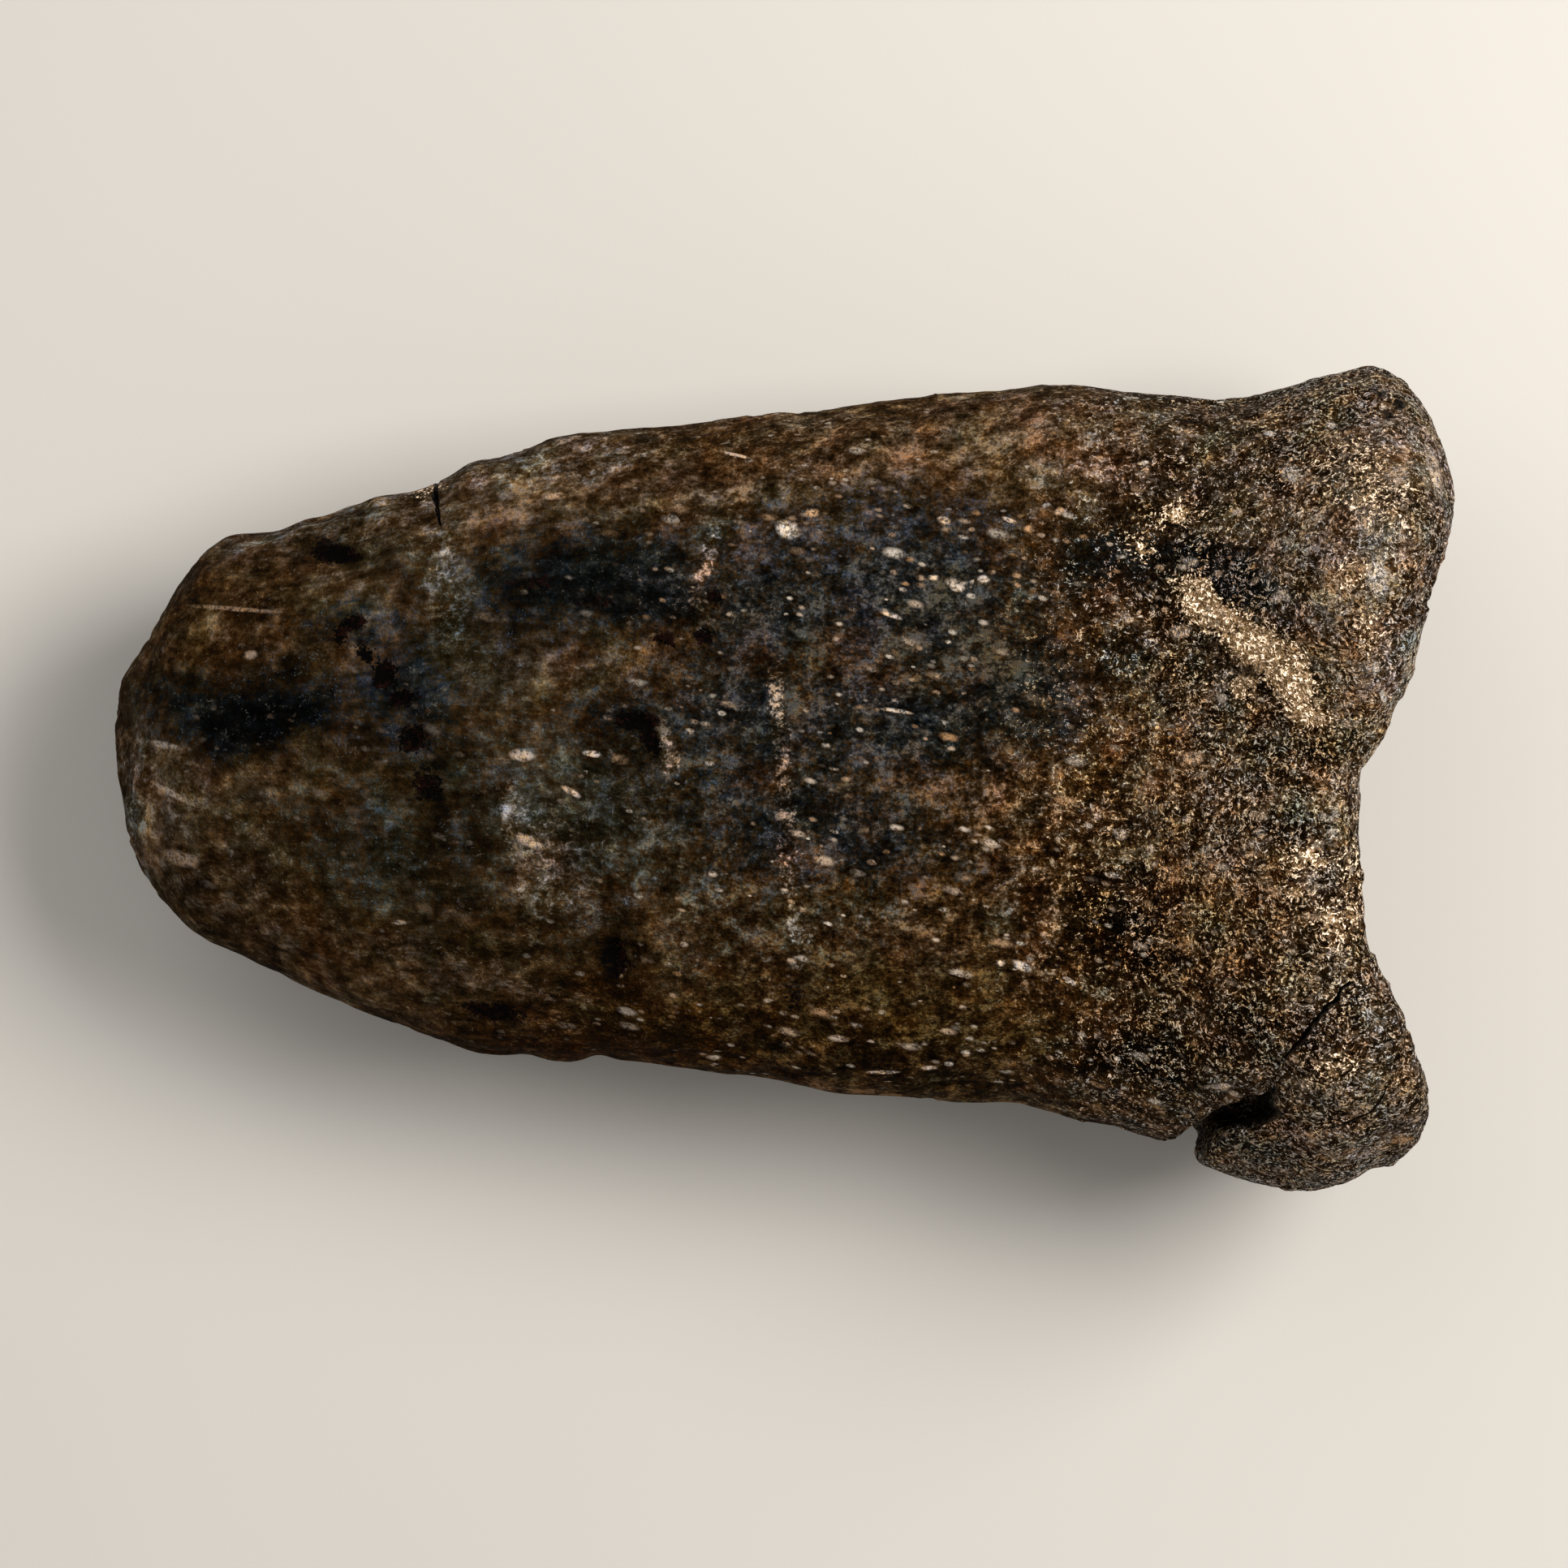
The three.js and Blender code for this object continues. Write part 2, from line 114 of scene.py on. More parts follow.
# Dark hollows, reddish inside. Their black is partly painted shade: the shade of holes deeper than the
# shallow dents made for them.
DEEP_ZONES = [
    (-29.6, 15.0, 1.7, 0.8, -10, 1.0), (-27.9, 10.2, 0.9, 0.5, 10, 1.0),
    (-28.9, 9.4, 0.45, 0.8, 0, 1.0), (-27.1, 8.3, 0.9, 0.6, -50, 1.0), (-25.8, 6.9, 0.8, 1.2, 20, 1.0),
    (-24.7, 5.2, 0.9, 0.8, 0, 1.0), (-24.0, 2.6, 0.9, 0.8, 0, 1.0), (-22.9, -0.6, 1.2, 1.6, 0, 0.7),
    (-9.3, 3.6, 1.6, 0.7, 0, 1.3), (-8.3, 2.2, 0.55, 1.1, 20, 1.3), (-10.8, -11.9, 1.1, 1.7, 10, 0.9),
    (-18.8, -15.5, 2.4, 0.8, -10, 0.8), (-4.8, 9.4, 0.9, 0.7, 0, 0.9), (-7.4, 9.0, 0.8, 0.5, 0, 0.8),
    (-3.9, 11.9, 0.7, 0.8, 0, 0.8), (1.4, -14.6, 0.8, 1.9, 10, 0.5), (39.9, 25.2, 0.6, 0.4, 0, 0.8),
    (41.1, 24.4, 0.5, 0.4, 0, 0.8), (40.2, 23.7, 0.4, 0.4, 0, 0.7), (-16.2, 13.0, 1.6, 0.6, 0, 0.6),
    (-11.6, 11.6, 2.2, 0.6, 0, 0.6), (31.0, 6.9, 0.8, 0.6, 0, 0.5),
]
# Lighter and darker parts of the upper face: x, y, half-length, half-width, turn, and stops. They are
# partly the stone's own light and dark patches and partly painted light and shade: a painted rim of
# light along the far top edge of the front half, the rear knob's ridge painted lighter as if lit, and
# darker strips along the lower edge painted as the shade of the side turned from the light.
SHADES = [
    (-35, 4.5, 8, 3, 0, -2.0), (-27, 6, 3.5, 6, 20, -0.5), (-21.5, -3, 2.4, 5, 10, -0.8),
    (-32, 9, 4, 2, 0, 0.1), (-13, 12.6, 6, 2.6, -3, -1.2), (-7, 11, 3, 3, 0, -0.7),
    (-30, -7, 9, 5, -10, 0.3), (-19, 15.5, 4, 4, 0, 0.8), (-12, 2, 2.6, 1.4, 0, -0.7),
    (-11, -12, 2.2, 2.6, 0, -0.6), (-19, -15.5, 3, 1.2, 0, -0.5), (-8, -17.5, 14, 2.2, -3, -0.8),
    (10, -18.5, 9, 2, -8, -0.8), (20, -9.5, 4, 3, 0, -1.1), (12, 0.5, 4, 3, 0, -0.6),
    (24, 18, 2, 1.6, 0, -0.3), (-30, 17.6, 8, 1.3, 14, 1.1), (-15, 21.4, 9, 1.4, 8, 1.0),
    (22, 22.5, 6, 1.8, 0, 0.4), (-21.5, 12.5, 2.4, 3, 0, 0.4), (37, 14, 3, 5, 0, 0.3),
    (40, 12, 2, 5, 0, 0.3), (21, 21.5, 5, 2, 0, 0.5), (30, -8, 4, 4, 0, 0.4), (36, -5, 2, 5, 0, 0.4),
    (-42, -1.5, 2.6, 6, -10, 0.8), (-33, 13.5, 5, 1.6, 5, -0.2), (37, 17, 4.5, 6, 0, 0.8),
    (36.5, 8, 3, 5, 0, 0.6), (41, 21, 3, 4, 0, 0.4), (12, 9, 7, 3, -10, 0.3), (22, 9, 4, 3.5, 0, 0.4),
    (23, 1, 4, 3, 0, 0.2), (37, -19, 5, 5, 0, 0.3), (-14, 18.6, 8, 2.4, 6, 0.5),
    (29, 20.5, 6, 4, 0, -0.9), (13, -14, 4, 3, 0, -0.6), (27.5, 8.5, 2.2, 2, -40, -0.6),
    (31, 0, 4, 6, 0, 0.6), (24, 2, 2.5, 3, 0, 0.9), (36, 10.5, 2, 2, 0, 0.5), (14, 22, 5, 2, 0, 0.5),
    (-4, 18, 2.5, 2, 0, 0.7), (-17, 18.5, 3, 2, 0, 0.8), (-10, 22, 4, 1.2, 0, -0.9),
    (23, 15.5, 4, 3, 0, -0.9), (-9, -4, 6, 5, 0, -0.5), (6, 22.8, 10, 1.6, 3, -0.3),
    (-8, 6.5, 2.5, 1.5, 0, -0.5), (0, -10, 2, 2, 0, -0.7), (-3, -17, 5, 2.5, 0, -0.6),
    (39, 13, 4, 5, 0, 0.55), (0, 15, 2, 2, 0, 0.7), (24, 2, 3, 3, 0, 0.6), (16, 11, 4, 2, 0, 0.5),
    (38, 4, 3, 5, 0, 0.4), (27, 21, 6, 3, -10, -0.3), (17, -6, 3, 3, 0, -0.4), (24, -10, 2, 3, 0, -0.9),
    (20, 13.5, 2, 1.5, 0, -0.6), (-20, -10, 3, 2, 0, -0.4), (16, 14, 2, 1.6, 0, -0.7),
    (21, -3, 3, 2, 0, -0.5), (24, -10, 3, 3, 0, -0.5), (24, -18, 4, 2, 0, -0.6),
    (32, -16, 2.4, 3, 0, -0.6), (-20, -2, 2, 2, 0, -0.7), (-16, -10, 2.4, 2, 0, -0.6),
    (30, 1, 6, 7, 0, -0.4), (20, -7, 4, 4, 0, -0.3), (32, -17, 3, 3, 0, -0.5), (24, -18, 3, 2, 0, -0.4),
    (40, 13, 3, 4, 0, 0.3), (-31, 14.6, 5, 1.4, 5, 0.3), (8, 14, 5, 2, 0, 0.3), (-43, -2, 2, 8, 0, 0.3),
    (-28, 5, 6, 4, 0, 0.3), (-18, -17, 6, 2, -10, -0.7), (4, -18.5, 9, 1.6, 0, -0.6),
    (24, -19, 4, 3, 0, -0.6), (14, -5.5, 4, 2.4, 0, -0.9), (12, 2, 2, 2, 0, -0.5),
    (23, -18, 4, 2.4, 0, -1.1), (-20, -10, 5, 2, 0, -0.5), (-8, -12, 2, 3.5, 0, 0.6),
    (-16, -6, 2, 2, 0, 0.8), (-14, 6.5, 3, 1.5, 0, 0.7), (-23, 14, 3, 2, 0, 0.7),
    (38, -21, 4, 4, 0, 0.4), (32, 11.5, 1.6, 1.2, -40, -0.9), (25, 12.5, 3, 2.4, -30, -0.6),
    (29, -21, 3, 1.2, 20, 0.6), (30.5, -14, 4, 3, 0, -0.3), (-16, -1.5, 2.4, 6, 0, 0.9),
    (-26, 9, 6, 4, 0, 0.9), (-30, 0.5, 7, 1.8, 0, 0.6), (-39, 2, 3, 7, 0, 0.9),
    (-35.5, -4, 5, 3, 0, 0.6), (23, -11, 4, 4, 0, -1.1), (18, -2, 4, 3, 0, -0.4),
    (-8, 19, 4, 3, 0, -0.6), (-11, 8, 3, 1.6, 0, -0.3), (20, 19, 4, 3, 0, -0.4),
]
# Warmer and cooler parts of the upper face: x, y, half-length, half-width, turn, and stops of red
# over blue.
WARMTHS = [
    (23, -10, 9, 8, 0, 0.7), (24, 2, 6, 4, 0, 0.45), (15, 8, 5, 4, 0, 0.5), (-25, 4, 7, 4, 0, -0.35),
    (4, 17, 10, 3, 0, -0.6), (-18, 9, 6, 4, 0, -0.6), (-24, -6, 5, 4, 0, -0.6),
    (-14, -18, 12, 2.4, -6, 1.0), (-8, -3, 8, 6, 0, -0.3), (-30, -11, 5, 3, -20, 0.5),
    (-39, 10, 5, 3, 30, 0.8), (34, 2, 14, 30, 0, 0.25),
]
# Whitish grains crowd together here, partly as painted highlights: there the pale grains are painted
# whiter and more numerous to stand for the glints of the rear rim, and they get more coat.
RIME_AND_GLINT_ZONES = [
    (40.4, 12.5, 1.8, 4.5, -8, 1.0), (41.2, 8.4, 1.6, 2.4, 0, 1.0), (41.8, 17.5, 1.4, 3.5, 0, 0.7),
    (38.4, -0.5, 1.5, 5, 0, 0.5), (34.4, -6.2, 1.3, 3.6, 0, 0.8), (37.2, -14.5, 2.2, 3.2, -30, 0.9),
    (40.6, 21.5, 1.6, 2.4, 0, 0.6), (38.0, 14.4, 0.8, 1.6, 10, 0.9), (32.2, 18.8, 1.2, 0.9, 0, 0.8),
    (-43.4, -3, 1.2, 4, 0, 0.3),
]
# Flecks crowd together here.
FLECK_ZONES = [
    (13, 13, 8, 3.5, -15, 1.0), (12, 6, 8, 4, -10, 0.7), (19, 15.5, 3, 2, 0, 0.8),
    (-13, -1, 6, 4, 0, 0.5), (-6, 18.5, 10, 2, 4, 0.6), (8, -4, 9, 4, 0, 0.4),
    (0, -17, 16, 2.4, -4, 0.3),
]
# Pale veins: path, half-width and strength.
VEINS = [
    ([(-17.6, -0.6), (-17.5, -2.6), (-17.0, -4.9), (-16.6, -7.2), (-15.9, -11.4)], 0.34, 0.9),
    ([(-0.1, 7.4), (0.2, 3.0), (0.6, -0.8), (0.9, -6.0), (1.5, -14.0)], 0.4, 0.6),
    ([(-4.1, 16.9), (-4.5, 14.2), (-5.2, 12.2), (-4.7, 9.9)], 0.35, 0.65),
    ([(-22.2, 16.4), (-21.8, 12.4), (-20.4, 9.6)], 0.5, 0.35),
    ([(-7.6, 3.2), (-7.3, 1.6), (-7.0, 0.6)], 0.4, 0.7),
]

# Dents and rises of the upper face: x, y, half-length, half-width, turn, depth (a rise is negative).
DENTS = [
    (-28.4, 14.7, 1.7, 0.8, -10, 0.5), (-25.8, 6.9, 0.7, 1.1, 20, 0.35), (-24.0, 2.7, 0.8, 0.8, 0, 0.4),
    (-9.3, 3.6, 1.3, 0.5, 0, 0.45), (-8.3, 2.2, 0.4, 1.0, 20, 0.35), (-10.8, -11.9, 1.0, 1.5, 10, 0.4),
    (-4.8, 9.4, 0.8, 0.6, 0, 0.35), (40.0, 24.2, 1.2, 0.8, 0, 0.5), (38.6, 22.6, 0.8, 0.6, 30, 0.35),
    (36.9, 24.0, 0.9, 0.6, 0, 0.3), (-16.5, -4.0, 1.3, 0.7, -20, -0.2),
    (29.2, -20.3, 1.0, 0.28, 3, -0.22), (25.5, -20.2, 0.7, 0.7, 0, -0.1),
    (25.5, -20.2, 0.25, 0.25, 0, 0.25), (31.2, -19.6, 0.5, 0.3, 50, -0.2),
    (26.3, 3.8, 2.5, 0.4, -10, 0.15), (32.5, -2.2, 2.2, 0.25, -6, 0.22),
    (28.6, -3.2, 1.8, 0.3, -12, 0.18), (29.0, 13.8, 2.6, 0.35, -8, 0.22),
    (34.0, 12.6, 1.2, 0.5, 35, 0.2),
]
# Ledges: a path, how much lower the bone is on its right-hand side, and how far that reaches.
LEDGES = [
    ([(43.8, 11.6), (42.4, 10.9), (41.1, 10.3), (40.0, 10.0), (38.9, 8.9)], 0.55, 2.5),
    ([(41.4, 4.6), (40.6, 3.6), (39.0, 2.1)], 0.35, 1.5),
    ([(38.1, -12.4), (36.7, -13.6), (35.4, -15.3), (34.3, -16.9), (33.0, -18.7), (32.5, -20.6)],
     0.3, 3.5),
]

# The open break: outline from above, its floor at the mouth, where the mouth ends, and the climb of
# the floor inwards from there. Then the top, mesh rows, step along the outline and noise seed of the
# wedge that leaves it.
BREAK_OUTLINE = [
    (25.0, -27.6), (25.9, -24.9), (26.9, -23.9), (27.8, -23.1), (28.5, -22.9), (29.1, -22.2),
    (30.1, -21.8), (31.0, -21.1), (32.0, -20.8), (32.8, -20.2), (32.7, -21.5), (33.2, -22.0),
    (32.1, -22.9), (31.4, -22.7), (30.7, -23.1), (29.7, -23.0), (29.3, -23.7), (29.0, -24.3),
    (28.6, -25.2), (28.4, -25.7), (28.2, -27.6),
]
BREAK_FLOOR = 6
BREAK_MOUTH = 27.3
BREAK_CLIMB = 2.45
BREAK_TOP = 42
BREAK_ROWS = 64
BREAK_STEP = 0.35
BREAK_SEED = 5

# Cracks: path, how many of its points lie in the closed part that leads to it, width and depth.
CRACKS = [
    ([(32.6, -20.4), (33.0, -18.8), (33.2, -18.2), (33.9, -17.3), (34.2, -17.1), (34.8, -16.0),
      (35.3, -15.5), (35.7, -14.8), (36.3, -14.5), (36.7, -13.7), (37.3, -13.2)], 2, 0.40, 2.0),
    ([(40.1, -19.5), (39.6, -20.7), (39.1, -21.6), (38.4, -22.1), (36.9, -22.8), (35.8, -23.0)],
     0, 0.16, 0.5),
    ([(-23.2, 21.4), (-22.9, 19.3), (-22.6, 17.9), (-22.4, 16.8)], 0, 0.45, 1.8),
]
CRACK_BACK = 1.5  # how far the blades that cut them stand above the skin
CRACK_STEP = 0.22  # length of a blade's mesh cells
CRACK_JAG = 0.13
SKY_LEVEL, EDGE_LEVEL = 60, 14  # the skin is looked for from here down; its level past its edge

# Pale marks with places of their own: x, y, half-length, half-width, turn, tint from 0 white to 1
# orange.
MARKS = [
    (0.8, 16.4, 0.8, 0.55, -20, 0.1), (2.4, 17.5, 0.45, 0.3, 0, 0.8), (-16.7, 1.5, 0.85, 0.4, -4, 0.4),
    (-12.1, 1.6, 0.6, 0.22, -8, 0.3), (-13.5, -0.9, 0.7, 0.2, -28, 0.5),
    (-14.8, 18.8, 0.75, 0.3, 0, 0.7), (27.4, 1.3, 0.65, 0.45, 0, 0.7), (43.0, 20.0, 0.5, 1.7, 8, 0.3),
    (29.2, -20.3, 0.95, 0.25, 3, 0.4), (31.0, -19.4, 0.35, 0.16, 55, 0.5),
    (31.3, -19.1, 0.35, 0.14, 5, 0.5), (41.4, -23.9, 0.85, 0.25, 5, 0.95),
    (-36.1, 11.3, 3.2, 0.16, -5, 0.75), (7.6, 10.7, 0.7, 0.16, -20, 0.4),
    (12.0, 12.5, 0.5, 0.25, -5, 0.3), (10.4, 13.2, 0.35, 0.18, 0, 0.4),
    (13.7, 13.1, 0.42, 0.24, 0, 0.4), (11.1, 17.0, 0.45, 0.24, -20, 0.5),
    (15.4, 17.0, 0.5, 0.15, -20, 0.5), (16.7, 16.4, 0.35, 0.24, 0, 0.9), (18.6, 17.6, 0.4, 0.3, 0, 0.8),
    (17.9, 17.9, 0.3, 0.22, 0, 0.0), (-2.6, 21.5, 0.95, 0.12, -14, 0.6),
    (16.2, -12.4, 0.7, 0.3, -25, 0.1), (19.4, -13.4, 0.5, 0.18, -35, 0.3),
    (14.9, -12.2, 0.28, 0.22, 0, 0.2), (22.2, -6.4, 0.55, 0.18, -15, 0.2),
    (7.1, -19.6, 1.1, 0.13, 0, 0.4), (4.2, -17.3, 0.7, 0.22, -5, 0.6), (10.2, -19.3, 0.5, 0.14, 0, 0.4),
    (-16.3, -4.2, 1.1, 0.35, -25, 0.5), (8.0, 4.4, 1.0, 0.14, -8, 0.3),
    (39.6, -0.3, 0.3, 0.6, -20, 0.1), (-25.0, -9.6, 0.5, 0.16, 0, 0.4),
    (-35.0, 8.2, 0.45, 0.3, 10, 0.5), (-40.5, -1.0, 1.6, 0.2, -28, 0.3),
    (-40.0, -5.4, 1.3, 0.5, -15, 0.5), (-41.0, 2.2, 1.2, 0.25, -12, 0.2),
    (28.0, -24.9, 0.5, 0.2, -20, 0.4), (33.8, 19.9, 0.7, 0.5, 0, 0.1), (38.8, 12.8, 0.7, 1.3, 10, 0.1),
    (38.9, 7.0, 0.25, 0.6, 10, 0.0), (39.5, 5.3, 0.25, 0.5, 20, 0.0), (26.5, 9.6, 0.6, 0.45, 0, 0.5),
    (23.3, 10.4, 0.35, 0.25, 0, 0.4), (22.7, -3.7, 0.5, 0.35, -20, 0.4), (24.6, -4.7, 0.3, 0.3, 0, 0.3),
    (32.7, 11.8, 0.6, 0.4, 40, 0.3), (32.6, 22.7, 0.4, 0.2, 0, 0.1), (36.5, 23.2, 0.3, 0.3, 0, 0.2),
    (40.3, 19.6, 0.8, 0.6, 0, 0.5), (27.2, 14.2, 0.5, 0.3, -20, 0.2), (24.3, 20.8, 0.4, 0.15, 10, 0.2),
    (21.5, 21.1, 0.25, 0.2, 0, 0.8), (27.0, -2.7, 0.35, 0.25, 0, 0.4), (30.2, 17.4, 0.35, 0.25, 0, 0.4),
    (35.2, 16.9, 0.4, 0.3, 0, 0.4),
]


def length_property(name, description, millimetres, least=0):
    """A length, given in millimetres."""
    return bpy.props.FloatProperty(
        name=name, description=description, default=millimetres * MM, min=least * MM, unit="LENGTH",
    )


def light_property(name, description, default, unit="NONE"):
    """The strength of a light."""
    return bpy.props.FloatProperty(
        name=name, description=description, default=default, min=0, unit=unit,
    )


def colour_property(name, description, default):
    """A colour, as linear red, green and blue."""
    return bpy.props.FloatVectorProperty(
        name=name, description=description, default=default, subtype="COLOR", size=3, min=0, max=1,
    )


class BoneRelief(bpy.types.PropertyGroup):
    """Sizes of the relief of the bone's skin."""

    cell: length_property("Skin cell", "Size of the skin's mesh cells", 0.43, 0.3)
    lumps: length_property("Lumps", "Height of the rounded lumps", 0.16)
    striations: length_property("Striations", "Height of the long ridges of the shaft", 0.10)
    grit: length_property("Grit", "Height of the coarse grit of the rear end", 0.13)
    scales: length_property("Scales", "Depth left by thin scales that have come off", 0.16)
    pits: length_property("Pits", "Depth of the small vessel holes", 0.4)
    crag: length_property("Crag", "Roughness of the walls of the break", 0.25)


class BoneColours(bpy.types.PropertyGroup):
    """Colours of the stone."""

    ground: colour_property("Ground", "Plain stone", (0.046, 0.0265, 0.0115))
    stain: colour_property("Stain", "Blue-black mineral stain", (0.0106, 0.0122, 0.0122))
    rust: colour_property("Rust", "Warm brown band", (0.064, 0.0375, 0.0185))
    moss: colour_property("Moss", "Grey-green cast of the middle", (0.0275, 0.0235, 0.0150))
    olive: colour_property("Olive", "Dark olive of the lower band", (0.025, 0.0138, 0.0036))
    crust: colour_property("Crust", "Pale crust of the rear end", (0.097, 0.072, 0.050))
    vein: colour_property("Vein", "Pale veins", (0.115, 0.090, 0.066))
    cream: colour_property("Cream", "Cream patches and flecks", (0.610, 0.430, 0.262))
    white: colour_property("White", "Whitish grains", (0.900, 0.800, 0.680))
    orange: colour_property("Orange", "Orange flecks", (0.520, 0.280, 0.120))
    # The black of the hollows is partly painted shade.
    deep: colour_property("Deep", "Black of the hollows", (0.0016, 0.0013, 0.0011))
    red: colour_property("Red", "Red floor of the hollows", (0.0120, 0.0040, 0.0026))
    sponge: colour_property("Sponge", "Brown inside of the stone", (0.035, 0.018, 0.009))


class StageSettings(bpy.types.PropertyGroup):
    """Floor, lights and camera."""

    floor_size: length_property("Floor size", "Side of the floor", 4000)
    floor_colour: colour_property("Floor", "Colour of the pale floor", (0.72, 0.70, 0.67))
    key_power: light_property("Key light", "Power of the key light", 1.9, "POWER")
    fill_power: light_property("Fill light", "Power of the fill light", 1.1, "POWER")
    sky: light_property("Sky", "Strength of the even light from all around", 0.30)


# ---------------------------------------------------------------- mesh helpers

FAR_AWAY = 1e9


def bell(share):
    """1 at 0, falling smoothly to 0."""
    return np.exp(-(share**2))


def ramp(low, high, value):
    """0 at low, 1 at high, smooth between them."""
    share = np.clip((value - low) / (high - low), 0, 1)
    return share * share * (3 - 2 * share)


def fractal(places, size, octaves, seed):
    """Soft noise of about -1 to 1. Size is one length, or a length for each axis."""
    shifted = places / np.array(size, float) + 13.7 * seed
    return np.array([noise.fractal(Vector(p), 1, 2, octaves) for p in shifted])


def ellipse(places, x, y, half_length, half_width, turn):
    """A soft ellipse seen from above: 1 at its middle, 0 well outside."""
    across, along = (places[:, 1] - y), (places[:, 0] - x)
    cos, sin = math.cos(math.radians(turn)), math.sin(math.radians(turn))
    u = (along * cos + across * sin) / half_length
    v = (across * cos - along * sin) / half_width
    return np.exp(-((u * u + v * v) ** 1.3))


def zone(places, table, joined=np.maximum):
    """Strength of a table's soft ellipses at each place: the strongest one's, or joined otherwise."""
    total = np.zeros(len(places))
    for *shape, strength in table:
        total = joined(total, strength * ellipse(places, *shape))
    return total


def cloudiness(places):
    """Broad light and dark clouds of the stone, in stops."""
    rear = np.maximum(ramp(10, 32, places[:, 0]), ramp(12, 18, places[:, 1]))
    front = ramp(6, -22, places[:, 0])
    broad = (0.9 - 0.4 * rear) * fractal(places, (9, 5, 5), 3, 41)
    return broad + (0.9 + 0.5 * rear + 0.5 * front) * fractal(places, (1.9, 1.4, 1.4), 2, 42)


def path_distance(places, path):
    """Distance from above to a path, and to which side of it each place is (left is positive)."""
    best = np.full(len(places), FAR_AWAY)
    side = np.zeros(len(places))
    for start, end in zip(path[:-1], path[1:]):
        run = np.subtract(end, start)
        offset = places[:, :2] - start
        share = np.clip(offset @ run / (run @ run), 0, 1)
        distance = np.linalg.norm(offset - share[:, None] * run, axis=1)
        turn = run[0] * offset[:, 1] - run[1] * offset[:, 0]
        side = np.where(distance < best, np.sign(turn), side)
        best = np.minimum(best, distance)
    return best, side


def coordinates(mesh):
    """Vertex places of a mesh in millimetres."""
    values = np.empty(3 * len(mesh.vertices))
    mesh.vertices.foreach_get("co", values)
    return values.reshape(-1, 3) / MM


def set_coordinates(mesh, places):
    """Moves the vertices of a mesh to places in millimetres."""
    mesh.vertices.foreach_set("co", (places * MM).ravel())
    mesh.update()


def edge_ends(mesh):
    """The two vertices of each edge."""
    ends = np.empty(2 * len(mesh.edges), int)
    mesh.edges.foreach_get("vertices", ends)
    return ends.reshape(-1, 2)


def vertex_normals(mesh):
    """The direction that each vertex faces."""
    values = np.empty(3 * len(mesh.vertices))
    mesh.vertices.foreach_get("normal", values)
    return values.reshape(-1, 3)


def smoothed(places, edges, steps, moving):
    """Places moved towards the mean of their neighbours by each share in steps."""
    count = np.maximum(np.bincount(edges.ravel(), minlength=len(places)), 1)
    for share in steps:
        mean = np.stack([
            np.bincount(edges[:, 0], places[edges[:, 1], axis], len(places))
            + np.bincount(edges[:, 1], places[edges[:, 0], axis], len(places))
            for axis in range(3)
        ], axis=1) / count[:, None]
        places = places + share * moving[:, None] * (mean - places)
    return places


def write_values(mesh, name, values):
    """Keeps a number, or a vector, for each vertex."""
    kind, field = ("FLOAT", "value") if values.ndim == 1 else ("FLOAT_VECTOR", "vector")
    mesh.attributes.new(name, kind, "POINT").data.foreach_set(field, values.ravel())


def applied(piece):
    """Replaces a piece's mesh by what its modifiers make of it."""
    graph = bpy.context.evaluated_depsgraph_get()
    made = bpy.data.meshes.new_from_object(piece.evaluated_get(graph))
    piece.modifiers.clear()
    spent = piece.data
    piece.data = made
    bpy.data.meshes.remove(spent)
    made.name = piece.name


def new_piece(name, mesh):
    """A new object of the scene."""
    piece = bpy.data.objects.new(name, mesh)
    bpy.context.scene.collection.objects.link(piece)
    return piece


def evenly_spaced(path, step, closed=False):
    """Points along a path at an even step."""
    points = np.array(path + path[:1] if closed else path, float)
    lengths = np.r_[0, np.cumsum(np.linalg.norm(np.diff(points, axis=0), axis=1))]
    count = max(int(lengths[-1] / step), 2)
    at = np.linspace(0, lengths[-1], count + 1)
    if closed:
        at = at[:-1]
    return np.stack([np.interp(at, lengths, points[:, axis]) for axis in range(2)], axis=1)


# ---------------------------------------------------------------- the bone's skin

UPPER_LEVEL = 12  # the cracks lie above this height
HEAL_REACH = 1.2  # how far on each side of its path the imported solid's crack is smoothed away
HEAL_STEPS = [0.9] * 160
EVEN_STEPS = [0.5, -0.53] * 30  # each pair smooths without shrinking
PIT_SPACING, WIDEST_PIT = 2.7, 0.55
PIT_CHANCE = 0.08  # cells whose draw is above this have a pit
CREAM_RISE = 0.14  # height of the cream patches above the bone
FLAKE_MIDDLE = (40.8, -20)  # the flake's growth rings run round this place
RING_HEIGHT = 0.09
BOX_MARGIN = 0.01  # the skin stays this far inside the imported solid's box
SHARP_DEGREES = 60  # edges that turn more than this are shaded sharp


def even_skin(cell):
    """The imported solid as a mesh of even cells, its facets smoothed and its cracks healed."""
    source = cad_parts[NODE]
    skin = new_piece("vertebra_skin", source.data.copy())
    remesh = skin.modifiers.new("Even cells", "REMESH")
    remesh.mode = "VOXEL"
    remesh.voxel_size = cell
    remesh.adaptivity = 0
    applied(skin)
    edges = edge_ends(skin.data)
    places = coordinates(skin.data)
    cracked = np.zeros(len(places))
    for path, *_ in CRACKS:
        near = path_distance(places, path)[0] < HEAL_REACH
        cracked = np.maximum(cracked, near & (places[:, 2] > UPPER_LEVEL))
    places = smoothed(places, edges, HEAL_STEPS, cracked)
    places = smoothed(places, edges, EVEN_STEPS, np.ones(len(places)))
    set_coordinates(skin.data, places)
    return skin


